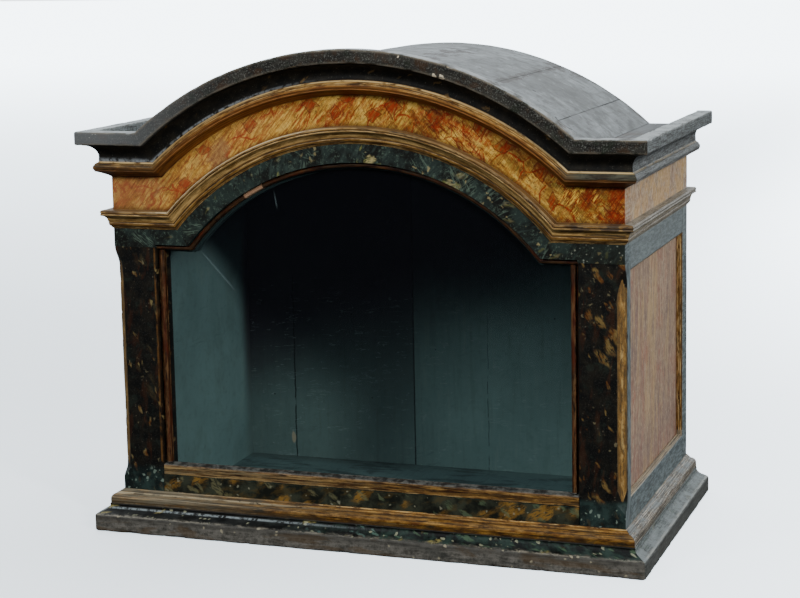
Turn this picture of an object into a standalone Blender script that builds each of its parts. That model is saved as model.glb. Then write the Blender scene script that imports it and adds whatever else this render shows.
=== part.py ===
"""Reliquary case: a glazed wooden case with an arched cornice and a barrel roof.

Axes: +X to the right, +Y to the back, +Z up. The origin is the centre of the overall
footprint, on the underside. The glazed front looks along -Y.
"""

import math

import bmesh
import bpy
from mathutils import Matrix, Vector

MM = 0.001
GAP = 0.3 * MM

# Driving dimensions of the body
BODY_WIDTH = 800 * MM
BODY_DEPTH = 435.5 * MM
FLOOR_THICKNESS = 14 * MM
FRAME_DEPTH = 31 * MM
PLANK_THICKNESS = 24 * MM
PANEL_STRIP = 10 * MM
BACK_THICKNESS = 18.5 * MM
SHOULDER_THICKNESS = 14 * MM
SLAT_THICKNESS = 6.2 * MM

# Heights of the front, from the underside up
PLINTH_HEIGHT = 62 * MM
RAIL_TOP = 88 * MM
FASCIA_FOOT = 445 * MM
OPENING_TOP = 449 * MM
ARCHITRAVE_FOOT = 473 * MM
ARCHITRAVE_TOP = 502 * MM
BED_FOOT = 552.5 * MM
BED_TOP = 603 * MM
CORNICE_TOP = 624.5 * MM

# All arched lines share one centre, on the middle plane
ARCH_CENTRE_Z = 225.6 * MM
OPENING_RADIUS = 355.6 * MM
ARCHITRAVE_RADII = (383 * MM, 409.5 * MM)
BED_RADII = (454 * MM, 501 * MM)
CORONA_RADII = (501.3 * MM, 523 * MM)
ARCH_STEPS = 28

# Corner posts and the rebate that takes the glass
POST_WIDTH = 69 * MM
POST_CHAMFER = 13 * MM
CHAMFER_FOOT = (80 * MM, 98 * MM)
CHAMFER_HEAD = (415 * MM, 444.6 * MM)
REBATE_DEPTH = 17.3 * MM
REBATE_LAP = 10 * MM
HEAD_LAP = 11.6 * MM

# Glass and its beads
GLASS_FRONT = 14 * MM
GLASS_THICKNESS = 3 * MM
BEAD_SETBACK = 4 * MM
BEAD_WIDTH = 11.7 * MM
BEAD_QUIRK = 3.5 * MM
HEAD_BEAD_WIDTH = 7.7 * MM
SILL_HEIGHT = 18.7 * MM

# Reach of the mouldings out from the body
PLINTH_REACH = 36.5 * MM
CORONA_REACH = 40 * MM
CORONA_WIDTH = 25 * MM

# Sunk panel in each side
PANEL_FRONT = 31.3 * MM
PANEL_BACK = 399 * MM
PANEL_FOOT = 104 * MM
PANEL_HEAD = 430 * MM

# Joints between boards
BACK_JOINT_X = -63 * MM
STAVE_JOINTS_DEG = (-35, -22.5, -8, 8, 22.5, 35)

HALF = BODY_WIDTH / 2
FRONT = (CORONA_REACH - BODY_DEPTH) / 2
BACK = FRONT + BODY_DEPTH


def clear_scene():
    for item in list(bpy.data.objects):
        bpy.data.objects.remove(item, do_unlink=True)


def make_material(name, colour, roughness, metallic=0.0, alpha=1.0):
    material = bpy.data.materials.new(name)
    material.use_nodes = True
    shader = material.node_tree.nodes["Principled BSDF"]
    shader.inputs["Base Color"].default_value = (*colour, 1.0)
    shader.inputs["Roughness"].default_value = roughness
    shader.inputs["Metallic"].default_value = metallic
    shader.inputs["Alpha"].default_value = alpha
    return material


def make_collection(name):
    collection = bpy.data.collections.new(name)
    bpy.context.scene.collection.children.link(collection)
    return collection


def object_from_bmesh(name, shape, collection, material=None):
    """Close a bmesh off as an object with outward faces."""
    bmesh.ops.recalc_face_normals(shape, faces=shape.faces)
    mesh = bpy.data.meshes.new(name)
    shape.to_mesh(mesh)
    shape.free()
    item = bpy.data.objects.new(name, mesh)
    collection.objects.link(item)
    if material:
        mesh.materials.append(material)
    return item


def box(name, low, high, collection, material=None):
    shape = bmesh.new()
    size = Vector(high) - Vector(low)
    centre = (Vector(high) + Vector(low)) / 2
    place = Matrix.Translation(centre) @ Matrix.Diagonal((*size, 1.0))
    bmesh.ops.create_cube(shape, size=1.0, matrix=place)
    return object_from_bmesh(name, shape, collection, material)


# An outline is drawn in a plane and pushed out along the plane's normal. Each entry
# turns a curve's own X, Y and Z into world axes.
PLANES = {
    "XZ": Matrix(((1, 0, 0), (0, 0, -1), (0, 1, 0))).to_4x4(),
    "YZ": Matrix(((0, 0, 1), (1, 0, 0), (0, 1, 0))).to_4x4(),
    "XY": Matrix.Identity(4),
}
NORMALS = {"XZ": Vector((0, 1, 0)), "YZ": Vector((1, 0, 0)), "XY": Vector((0, 0, 1))}


def extruded_outline(name, outline, plane, low, high, collection, material=None):
    """A flat outline made solid between two distances along the plane's normal."""
    curve = bpy.data.curves.new(name + "_outline", "CURVE")
    curve.dimensions = "2D"
    curve.fill_mode = "BOTH"
    curve.extrude = (high - low) / 2
    spline = curve.splines.new("POLY")
    spline.points.add(len(outline) - 1)
    for point, (across, up) in zip(spline.points, outline):
        point.co = (across, up, 0, 1)
    spline.use_cyclic_u = True
    flat = bpy.data.objects.new(name + "_outline", curve)
    collection.objects.link(flat)
    flat.matrix_world = Matrix.Translation(NORMALS[plane] * (low + high) / 2) @ PLANES[plane]
    bpy.context.view_layer.update()
    evaluated = flat.evaluated_get(bpy.context.evaluated_depsgraph_get())
    mesh = bpy.data.meshes.new_from_object(evaluated)
    shape = bmesh.new()
    shape.from_mesh(mesh)
    bmesh.ops.transform(shape, matrix=flat.matrix_world, verts=shape.verts)
    bmesh.ops.remove_doubles(shape, verts=shape.verts, dist=0.01 * MM)
    bpy.data.objects.remove(flat, do_unlink=True)
    bpy.data.curves.remove(curve)
    bpy.data.meshes.remove(mesh)
    return object_from_bmesh(name, shape, collection, material)


def loft(name, rings, collection, material):
    """Join rings of equal length into one closed solid, for runs whose section changes."""
    shape = bmesh.new()
    rows = [[shape.verts.new(point) for point in ring] for ring in rings]
    count = len(rows[0])
    for near, far in zip(rows, rows[1:]):
        for index in range(count):
            after = (index + 1) % count
            shape.faces.new((near[index], near[after], far[after], far[index]))
    shape.faces.new(rows[0])
    shape.faces.new(rows[-1])
    return object_from_bmesh(name, shape, collection, material)


def cut(target, cutter):
    cutter.hide_render = True
    cutter.display_type = "WIRE"
    modifier = target.modifiers.new(cutter.name, "BOOLEAN")
    modifier.operation = "DIFFERENCE"
    modifier.solver = "EXACT"
    modifier.object = cutter


def arc(centre, radius, start_deg, end_deg, steps):
    """Points along an arc; a pair of radii gives an elliptical one."""
    across, up = radius if isinstance(radius, tuple) else (radius, radius)
    points = []
    for step in range(steps + 1):
        angle = math.radians(start_deg + (end_deg - start_deg) * step / steps)
        points.append((centre[0] + across * math.cos(angle), centre[1] + up * math.sin(angle)))
    return points


def kink(height, radius):
    """Distance from the middle at which a level line turns into the arch."""
    return math.sqrt(radius ** 2 - (height - ARCH_CENTRE_Z) ** 2)


def arched_line(height, radius, end, steps=ARCH_STEPS):
    """Level at both ends, arched between: points from +end to -end."""
    turn = kink(height, radius)
    half_angle = math.degrees(math.asin(turn / radius))
    centre = (0, ARCH_CENTRE_Z)
    arch = arc(centre, radius, 90 - half_angle, 90 + half_angle, steps)
    return [(end, height)] + arch + [(-end, height)]


def arched_run(name, profile, radii, reach, collection, material):
    """A moulding along the level-arched-level front line, mitred at both corners.

    profile holds (reach, height) pairs; radii gives the arch's radius at the lowest and
    highest of those heights.
    """
    low = min(height for _, height in profile)
    high = max(height for _, height in profile)
    lines = []
    for out, height in profile:
        radius = radii[0] + (radii[1] - radii[0]) * (height - low) / (high - low)
        lines.append((out, arched_line(height, radius, reach(out))))
    rings = []
    for step in range(ARCH_STEPS + 3):
        rings.append([(line[step][0], FRONT - out, line[step][1]) for out, line in lines])
    return loft(name, rings, collection, material)


def corner_reach(out):
    return HALF + out - GAP / 2


def level_run(name, profile, collection, material):
    """A straight moulding across the front, mitred at both corners."""
    rings = []
    for side in (1, -1):
        rings.append([(side * corner_reach(out), FRONT - out, height) for out, height in profile])
    return loft(name, rings, collection, material)


def side_run(name, side, profile, collection, material):
    """A straight moulding along one side, mitred in front and cut square at the back."""
    front = [(side * (HALF + out), FRONT - out + GAP, height) for out, height in profile]
    back = [(side * (HALF + out), BACK, height) for out, height in profile]
    return loft(name, [front, back], collection, material)


def plinth_profile():
    slab_top = 28 * MM
    arris = 3 * MM
    face = 16.2 * MM
    bead = 8.1 * MM
    ledge = 39 * MM
    points = [(GAP, 0)]
    points += arc((PLINTH_REACH - arris / 2, arris / 2), arris / 2, -90, 0, 2)
    points += arc((PLINTH_REACH - arris, slab_top - arris), arris, 0, 70, 3)
    points += arc((PLINTH_REACH - arris, ledge + 1 * MM), (17 * MM, 11 * MM), 250, 185, 5)
    points += [(face + 2 * MM, ledge + 1 * MM), (face, ledge + 1.4 * MM)]
    points += arc((face - bead, 48.1 * MM), bead, 0, 90, 6)
    points += [(6 * MM, 56.4 * MM), (5.4 * MM, 58.8 * MM), (3 * MM, 59.2 * MM)]
    points += [(1.6 * MM, PLINTH_HEIGHT - 0.4 * MM), (GAP, PLINTH_HEIGHT)]
    return points


def architrave_profile():
    nose = 15 * MM
    points = [(GAP, ARCHITRAVE_FOOT)]
    points += arc((-2.2 * MM, ARCHITRAVE_FOOT + 10.5 * MM), (8.2 * MM, 10.3 * MM), -66, 0, 4)
    points += arc((nose, ARCHITRAVE_FOOT + 11 * MM), (8.6 * MM, 9.2 * MM), 172, 96, 4)
    points += [(nose, ARCHITRAVE_FOOT + 21 * MM), (nose, ARCHITRAVE_TOP - 2 * MM)]
    points += [(nose - 2 * MM, ARCHITRAVE_TOP - 0.3 * MM), (GAP, ARCHITRAVE_TOP)]
    return points


def bed_profile():
    """A sloping face and a bead below, a narrow fillet, and a quarter cove above."""
    bead = 8.3 * MM
    bead_centre = (12.7 * MM, BED_FOOT + 15 * MM)
    fillet = 13.6 * MM
    cove = 18.6 * MM
    cove_centre = (fillet + cove, BED_TOP - 19.2 * MM)
    points = [(GAP, BED_FOOT), (4 * MM, BED_FOOT + 2.8 * MM), (12.5 * MM, BED_FOOT + 7 * MM)]
    points += arc(bead_centre, bead, -42, 78, 6)
    points += arc(cove_centre, cove, 180, 90, 7)
    points += [(cove_centre[0] + 0.3 * MM, BED_TOP), (GAP, BED_TOP)]
    return points


def corona_profile():
    inner = CORONA_REACH - CORONA_WIDTH
    edge = 2.5 * MM
    foot = BED_TOP + GAP
    points = [(inner, foot)]
    points += arc((CORONA_REACH - edge, foot + edge), edge, -90, 0, 3)
    points += arc((CORONA_REACH - edge, CORNICE_TOP - edge), edge, 0, 90, 3)
    points += [(inner + 1 * MM, CORNICE_TOP), (inner, CORNICE_TOP - 1 * MM)]
    return points


def half_round(low, high):
    """A bead's section: (height across the bead, distance behind the body's front)."""
    middle = (low + high) / 2
    back = GLASS_FRONT - GAP
    crown = arc((middle, BEAD_SETBACK + 4 * MM), ((high - low) / 2, 4 * MM), 180, 360, 6)
    return [(low, back)] + crown + [(high, back)]


def make_base(parts, paint):
    box("floor_board", (-HALF, FRONT, 0), (HALF, BACK, FLOOR_THICKNESS), parts, paint["bare"])
    level_run("plinth_moulding_front", plinth_profile(), parts, paint["plinth"])
    for word, side in (("left", -1), ("right", 1)):
        side_run("plinth_moulding_" + word, side, plinth_profile(), parts, paint["plinth"])


def chamfer_at(height):
    """The corner's chamfer swells out of the square post in a soft S at both ends."""
    smallest = 0.4 * MM
    rise = (height - CHAMFER_FOOT[0]) / (CHAMFER_FOOT[1] - CHAMFER_FOOT[0])
    fall = (CHAMFER_HEAD[1] - height) / (CHAMFER_HEAD[1] - CHAMFER_HEAD[0])
    amount = max(0.0, min(1.0, rise, fall))
    return smallest + (POST_CHAMFER - smallest) * amount * amount * (3 - 2 * amount)


def make_posts(parts, paint):
    inner = HALF - POST_WIDTH
    foot = FLOOR_THICKNESS + GAP
    top = FASCIA_FOOT - GAP
    stop_steps = 6
    heights = [foot]
    for low, high in (CHAMFER_FOOT, CHAMFER_HEAD):
        heights += [low + (high - low) * step / stop_steps for step in range(stop_steps + 1)]
    heights.append(top)
    for word, side in (("left", -1), ("right", 1)):
        rings = []
        for height in heights:
            chamfer = chamfer_at(height)
            plan = [(inner, 0), (HALF - chamfer, 0), (HALF, chamfer), (HALF, FRAME_DEPTH)]
            plan += [(inner - REBATE_LAP, FRAME_DEPTH), (inner - REBATE_LAP, REBATE_DEPTH)]
            plan.append((inner, REBATE_DEPTH))
            rings.append([(side * across, FRONT + deep, height) for across, deep in plan])
        loft("corner_post_" + word, rings, parts, paint["marble"])


def make_bottom_rail(parts, cutters, paint):
    wide = HALF - POST_WIDTH - GAP
    narrow = wide - REBATE_LAP
    deep = REBATE_DEPTH - GAP
    plan = [(-wide, 0), (wide, 0), (wide, deep), (narrow, deep), (narrow, FRAME_DEPTH)]
    plan += [(-narrow, FRAME_DEPTH), (-narrow, deep), (-wide, deep)]
    outline = [(across, FRONT + back) for across, back in plan]
    foot = FLOOR_THICKNESS + GAP
    top = RAIL_TOP + REBATE_LAP
    rail = extruded_outline("bottom_rail", outline, "XY", foot, top, parts, paint["marble"])
    low = (-HALF, FRONT - 5 * MM, RAIL_TOP)
    high = (HALF, FRONT + REBATE_DEPTH, top + 5 * MM)
    cut(rail, box("bottom_rail_rebate", low, high, cutters))


def make_head_board(parts, cutters, paint):
    outer = arched_line(BED_TOP, BED_RADII[1] + GAP, HALF)
    lap_foot = OPENING_TOP - HEAD_LAP
    lap_end = HALF - POST_WIDTH - REBATE_LAP - GAP
    inner = arched_line(lap_foot, OPENING_RADIUS - HEAD_LAP, lap_end)
    inner.reverse()
    outline = outer + [(-HALF, FASCIA_FOOT), (-lap_end, FASCIA_FOOT)] + inner
    outline += [(lap_end, FASCIA_FOOT), (HALF, FASCIA_FOOT)]
    back = FRONT + FRAME_DEPTH
    board = extruded_outline("head_board", outline, "XZ", FRONT, back, parts, paint["marble"])
    rebate = arched_line(OPENING_TOP, OPENING_RADIUS, HALF - POST_WIDTH)
    rebate += [(-HALF + POST_WIDTH, RAIL_TOP), (HALF - POST_WIDTH, RAIL_TOP)]
    front = FRONT - 5 * MM
    deep = FRONT + REBATE_DEPTH
    cut(board, extruded_outline("head_board_rebate", rebate, "XZ", front, deep, cutters))


def make_glazing(parts, paint):
    edge = HALF - POST_WIDTH - GAP
    foot = RAIL_TOP + GAP
    top = OPENING_TOP - GAP
    radius = OPENING_RADIUS - GAP
    outline = arched_line(top, radius, edge) + [(-edge, foot), (edge, foot)]
    front = FRONT + GLASS_FRONT
    back = front + GLASS_THICKNESS
    extruded_outline("glass_pane", outline, "XZ", front, back, parts, paint["glass"])

    sill_back = FRONT + GLASS_FRONT - GAP
    sill_front = FRONT + 2 * MM
    nose = foot + SILL_HEIGHT - 4 * MM
    sill = [(sill_back, foot), (sill_front, foot), (sill_front, nose)]
    sill += [(sill_front + 1 * MM, nose + 1.6 * MM), (sill_back, foot + SILL_HEIGHT)]
    extruded_outline("glazing_bead_sill", sill, "YZ", -edge, edge, parts, paint["gilt"])

    head_low = top - HEAD_BEAD_WIDTH
    bead_foot = foot + SILL_HEIGHT + GAP
    for word, side in (("left", -1), ("right", 1)):
        section = half_round(edge - BEAD_WIDTH, edge - BEAD_QUIRK)
        floor_of_quirk = section[-1][1] - BEAD_QUIRK
        section[-1] = (edge, section[-1][1])
        section[-1:-1] = [(edge - BEAD_QUIRK, floor_of_quirk), (edge, floor_of_quirk)]
        plan = [(side * across, FRONT + deep) for across, deep in section]
        bead_name = "glazing_bead_" + word
        extruded_outline(bead_name, plan, "XY", bead_foot, head_low - GAP, parts, paint["gilt"])

    lines = []
    for height, deep in half_round(head_low, top):
        line = arched_line(height, radius - (top - height), edge)
        lines.append([(across, FRONT + deep, up) for across, up in line])
    rings = [list(ring) for ring in zip(*lines)]
    loft("glazing_bead_head", rings, parts, paint["gilt"])


def make_cornice(parts, paint):
    runs = (
        ("architrave_moulding_", architrave_profile(), ARCHITRAVE_RADII, paint["gilt"]),
        ("bed_moulding_", bed_profile(), BED_RADII, paint["gilt"]),
        ("corona_", corona_profile(), CORONA_RADII, paint["dark"]),
    )
    for stem, profile, radii, material in runs:
        arched_run(stem + "front", profile, radii, corner_reach, parts, material)
        for word, side in (("left", -1), ("right", 1)):
            side_run(stem + word, side, profile, parts, material)


def make_sides(parts, paint):
    foot = FLOOR_THICKNESS + GAP
    top = BED_TOP - SHOULDER_THICKNESS - GAP
    outer = HALF - PANEL_STRIP
    plank_back = BACK - BACK_THICKNESS - GAP
    strip_back = FRONT + PANEL_BACK - GAP
    front = FRONT + PANEL_FRONT
    for word, side in (("left", -1), ("right", 1)):
        pieces = (
            ("side_plank_", outer - GAP - PLANK_THICKNESS, outer - GAP, front, plank_back, foot, top),
            ("side_stile_", outer, HALF, FRONT + PANEL_BACK, BACK, foot, top),
            ("side_bottom_rail_", outer, HALF, front, strip_back, foot, PANEL_FOOT),
            ("side_top_rail_", outer, HALF, front, strip_back, PANEL_HEAD, top),
        )
        for stem, inner_x, outer_x, near, far, low, high in pieces:
            ends = sorted((side * inner_x, side * outer_x))
            box(stem + word, (ends[0], near, low), (ends[1], far, high), parts, paint["side"])


def make_back(parts, paint):
    """Two boards, notched at their tops for the shoulder boards."""
    foot = FLOOR_THICKNESS + GAP
    notch_z = BED_TOP - SHOULDER_THICKNESS - GAP
    radius = BED_RADII[1] + GAP
    edge = HALF - PANEL_STRIP - GAP
    notch_x = kink(BED_TOP, radius) - 8 * MM - GAP
    spans = (
        ("left", -edge, BACK_JOINT_X - GAP, -notch_x, BACK_JOINT_X - GAP, -edge),
        ("right", BACK_JOINT_X, edge, BACK_JOINT_X, notch_x, edge),
    )
    for word, low_x, high_x, arch_from, arch_to, notched in spans:
        start = 90 - math.degrees(math.asin(arch_to / radius))
        end = 90 - math.degrees(math.asin(arch_from / radius))
        crown = arc((0, ARCH_CENTRE_Z), radius, start, end, ARCH_STEPS // 2)
        corner = [(notched, notch_z), (math.copysign(notch_x, notched), notch_z)]
        if notched > 0:
            outline = [(low_x, foot), (high_x, foot)] + corner + crown
        else:
            outline = [(low_x, foot), (high_x, foot)] + crown + corner[::-1]
        near = BACK - BACK_THICKNESS
        extruded_outline("back_board_" + word, outline, "XZ", near, BACK, parts, paint["inside"])


def make_roof(parts, paint):
    """Shoulder boards beside a barrel of narrow boards nailed over front and back."""
    inner = BED_RADII[1] + 0.8 * MM
    outer = inner + SLAT_THICKNESS
    rest = BED_TOP + GAP
    foot_angles = [math.degrees(math.acos((rest - ARCH_CENTRE_Z) / r)) for r in (inner, outer)]
    half_gap = math.degrees(GAP / 2 / inner)
    near = FRONT - CORONA_REACH + CORONA_WIDTH + GAP
    centre = (0, ARCH_CENTRE_Z)
    joints = list(STAVE_JOINTS_DEG)
    lefts = [(-foot_angles[0], -foot_angles[1])] + [(joint + half_gap,) * 2 for joint in joints]
    rights = [(joint - half_gap,) * 2 for joint in joints] + [tuple(foot_angles)]
    for index, (left, right) in enumerate(zip(lefts, rights), start=1):
        outline = arc(centre, outer, 90 - right[1], 90 - left[1], 5)
        outline += arc(centre, inner, 90 - left[0], 90 - right[0], 5)
        name = "roof_stave_" + str(index)
        extruded_outline(name, outline, "XZ", near, BACK, parts, paint["roof"])

    board_inner = kink(BED_TOP, BED_RADII[1] + GAP) - 8 * MM
    low = BED_TOP - SHOULDER_THICKNESS
    for word, side in (("left", -1), ("right", 1)):
        ends = sorted((side * board_inner, side * HALF))
        front = FRONT + FRAME_DEPTH + GAP
        board_low = (ends[0], front, low)
        box("shoulder_board_" + word, board_low, (ends[1], BACK, BED_TOP), parts, paint["roof"])


def main():
    clear_scene()
    parts = make_collection("reliquary_case")
    cutters = make_collection("cutters")
    paint = {
        "marble": make_material("marbled_paint", (0.035, 0.034, 0.026), 0.45),
        "gilt": make_material("worn_gilding", (0.36, 0.21, 0.07), 0.4, metallic=0.6),
        "dark": make_material("dark_paint", (0.022, 0.028, 0.030), 0.55),
        "plinth": make_material("plinth_paint", (0.075, 0.072, 0.066), 0.6),
        "side": make_material("side_paint", (0.10, 0.12, 0.14), 0.6),
        "inside": make_material("inside_paint", (0.02, 0.05, 0.06), 0.7),
        "roof": make_material("roof_paint", (0.21, 0.24, 0.25), 0.8),
        "bare": make_material("bare_wood", (0.20, 0.13, 0.08), 0.8),
        "glass": make_material("window_glass", (0.9, 0.95, 0.95), 0.05, alpha=0.2),
    }
    make_base(parts, paint)
    make_posts(parts, paint)
    make_bottom_rail(parts, cutters, paint)
    make_head_board(parts, cutters, paint)
    make_glazing(parts, paint)
    make_cornice(parts, paint)
    make_sides(parts, paint)
    make_back(parts, paint)
    make_roof(parts, paint)


main()
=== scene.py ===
import math

import bpy
from mathutils import Matrix, Vector


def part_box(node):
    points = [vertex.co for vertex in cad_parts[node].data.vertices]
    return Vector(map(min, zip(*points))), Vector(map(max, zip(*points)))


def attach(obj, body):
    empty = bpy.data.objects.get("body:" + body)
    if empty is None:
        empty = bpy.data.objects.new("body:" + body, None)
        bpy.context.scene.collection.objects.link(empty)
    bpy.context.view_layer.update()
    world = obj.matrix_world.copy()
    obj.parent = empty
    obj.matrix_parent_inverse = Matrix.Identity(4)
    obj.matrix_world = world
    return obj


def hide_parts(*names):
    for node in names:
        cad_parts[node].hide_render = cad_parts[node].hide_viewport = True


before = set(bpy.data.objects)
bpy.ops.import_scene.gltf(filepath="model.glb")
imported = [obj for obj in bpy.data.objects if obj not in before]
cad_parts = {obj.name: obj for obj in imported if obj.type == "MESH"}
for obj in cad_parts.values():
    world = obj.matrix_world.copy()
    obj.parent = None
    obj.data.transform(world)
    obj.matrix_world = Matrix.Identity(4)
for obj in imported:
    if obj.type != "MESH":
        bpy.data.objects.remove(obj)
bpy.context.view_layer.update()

# The case: body planes and heights read from the parts, and the arch
mm = 0.001
floorLow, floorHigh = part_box("floor_board")
case = {
    "half": floorHigh.x,
    "front": floorLow.y,
    "back": floorHigh.y,
    "architraveFoot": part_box("architrave_moulding_left")[0].z,
    "architraveTop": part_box("architrave_moulding_left")[1].z,
    "bedFoot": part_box("bed_moulding_left")[0].z,
    "bedTop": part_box("bed_moulding_left")[1].z,
    "coronaFoot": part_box("corona_left")[0].z,
    "coronaTop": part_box("corona_left")[1].z,
}
arch = {
    "centre": 225.6 * mm,
    "architrave": (383 * mm, 409.5 * mm),
    "bed": (454 * mm, 501 * mm),
    "corona": (501.3 * mm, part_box("corona_front")[1].z - 225.6 * mm),
    "opening": 355.3 * mm,
}


def shade(colour):
    # an 8-bit colour as the linear one that a shader takes; a wire stays as it is
    if isinstance(colour, Wire):
        return colour
    parts = [part / 255 for part in colour]
    return (*(part / 12.92 if part <= 0.04045 else ((part + 0.055) / 1.055) ** 2.4 for part in parts), 1.0)


def calculation(operation, swapped=False):
    # a Math node as a method: of one value, or of two in either order
    def add(self, other=None):
        values = [self] if other is None else [other, self] if swapped else [self, other]
        return self.maker.node("ShaderNodeMath", {"operation": operation}, dict(enumerate(values)))
    return add


class Wire:
    # one node's socket; a formula on wires adds the nodes that work it out
    def __init__(self, maker, socket):
        self.maker = maker
        self.socket = socket

    __add__ = calculation("ADD")
    __radd__ = calculation("ADD", True)
    __sub__ = calculation("SUBTRACT")
    __rsub__ = calculation("SUBTRACT", True)
    __mul__ = calculation("MULTIPLY")
    __rmul__ = calculation("MULTIPLY", True)
    __truediv__ = calculation("DIVIDE")
    __lt__ = calculation("LESS_THAN")
    __gt__ = calculation("GREATER_THAN")
    least = calculation("MINIMUM")
    most = calculation("MAXIMUM")
    angle = calculation("ARCTAN2")
    root = calculation("SQRT")
    size = calculation("ABSOLUTE")
    sign = calculation("SIGN")
    sine = calculation("SINE")
    cosine = calculation("COSINE")
    fraction = calculation("FRACT")

    def ease(self, low, high):
        # 0 at low and 1 at high, soft between; low may be the larger one
        values = {"Value": self, "From Min": low, "From Max": high}
        return self.maker.node("ShaderNodeMapRange", {"interpolation_type": "SMOOTHSTEP"}, values)

    def span(self, low, high, first, last):
        values = {"Value": self, "From Min": low, "From Max": high, "To Min": first, "To Max": last}
        return self.maker.node("ShaderNodeMapRange", {"clamp": False}, values)

    def line(self, middle, width):
        # a thin line where the value passes the middle
        return (self - middle).size().ease(width, width * 0.25)

    def split(self):
        made = self.maker.node("ShaderNodeSeparateXYZ", None, {0: self}).socket.node
        return [Wire(self.maker, output) for output in made.outputs]

    def vector(self, operation, *others, output=0):
        values = dict(enumerate((self, *others)))
        return self.maker.node("ShaderNodeVectorMath", {"operation": operation}, values, output)

    def distanceTo(self, spot):
        return self.vector("DISTANCE", spot, output=1)

    def scaled(self, amount):
        values = {0: self, "Scale": amount}
        return self.maker.node("ShaderNodeVectorMath", {"operation": "SCALE"}, values)

    def noise(self, scale, detail=3.0, roughness=0.55, distortion=0.0, seed=0.0, output=0):
        values = {"Vector": self, "W": seed, "Scale": scale, "Detail": detail,
                  "Roughness": roughness, "Distortion": distortion}
        return self.maker.node("ShaderNodeTexNoise", {"noise_dimensions": "4D"}, values, output)

    def grained(self, stretch, *look):
        # noise stretched by its scale to a metre in each direction
        placed = self.maker.node("ShaderNodeMapping", None, {"Vector": self, "Scale": stretch})
        return placed.noise(1.0, *look)

    def leaned(self, along, across, degrees):
        # a pattern's long direction leans by so many degrees
        values = {"Vector": self, "Rotation": (0, 0, math.radians(degrees)),
                  "Scale": (1 / along, 1 / across, 1)}
        return self.maker.node("ShaderNodeMapping", {"vector_type": "TEXTURE"}, values)

    def brushed(self, along, across, degrees, *look):
        return self.leaned(along, across, degrees).noise(1.0, *look)

    def grit(self, scale, low, high, seed=0.0):
        return self.noise(scale, 2, 0.7, 0, seed).ease(low, high)

    def ragged(self, scale, amount, seed=0.0):
        # the same place pushed about a little, so that shapes get hand-made outlines
        push = self.noise(scale, 2.0, 0.5, 0.0, seed, 1).vector("SUBTRACT", (0.5, 0.5, 0.5))
        return self.vector("ADD", push.scaled(amount))

    def spots(self, scale, metric="EUCLIDEAN", randomness=1.0):
        # how far the nearest of many scattered spots is, and that spot's own chances
        values = {"Vector": self, "Scale": scale, "Randomness": randomness}
        away = self.maker.node("ShaderNodeTexVoronoi", {"distance": metric}, values)
        return away, Wire(self.maker, away.socket.node.outputs[1]).split()

    def dabs(self, scale, size, share, softness=0.1):
        # scattered dabs, scale to a metre; only that share of them is there
        away, chance = self.spots(scale)
        wide = size * (0.45 + chance[1] * 0.9)
        return (away - wide).ease(softness, -softness) * (chance[0] < share)

    def strokes(self, scale, size, share, seed, lean):
        # brush marks: dabs drawn out along one direction, ragged and broken by the bristles
        loose = self.ragged(36, 0.022, seed).ragged(150, 0.006, seed + 1)
        marks = loose.leaned(0.8, 2.1, lean).dabs(scale, size, share, 0.09)
        return marks * self.brushed(110, 420, lean, 3, 0.6, 0, seed).ease(0.36, 0.52)

    def scratches(self, lean, seed, width=0.02, fineness=1.0):
        # long thin brushed lines that lean one way
        turned = self.brushed(26 * fineness, 210 * fineness, lean, 3, 0.6, 0.4, seed)
        return turned.line(0.5, width)

    def veins(self, scale, width):
        values = {"Vector": self, "Scale": scale}
        edge = self.maker.node("ShaderNodeTexVoronoi", {"feature": "DISTANCE_TO_EDGE"}, values)
        return edge.ease(width, width * 0.3)

    def tones(self, low, high, first, second):
        # one tone where the value is low, another where it is high, soft between
        return self.maker.mix(self.ease(low, high), first, second)

    def lay(self, amount, tone):
        # another coat over this colour
        self.socket = self.maker.mix(amount, self, tone).socket


class NodeMaker:
    # adds nodes to one tree: type, settings first, then values or links of its sockets
    def __init__(self, tree):
        self.tree = tree

    def node(self, kind, settings=None, sockets=None, output=0):
        made = self.tree.nodes.new(kind)
        for key, value in (settings or {}).items():
            setattr(made, key, value)
        for key, value in (sockets or {}).items():
            if isinstance(value, Wire):
                self.tree.links.new(value.socket, made.inputs[key])
            else:
                made.inputs[key].default_value = value
        return Wire(self, made.outputs[output])

    def join(self, x, y, z):
        return self.node("ShaderNodeCombineXYZ", None, {0: x, 1: y, 2: z})


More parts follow.
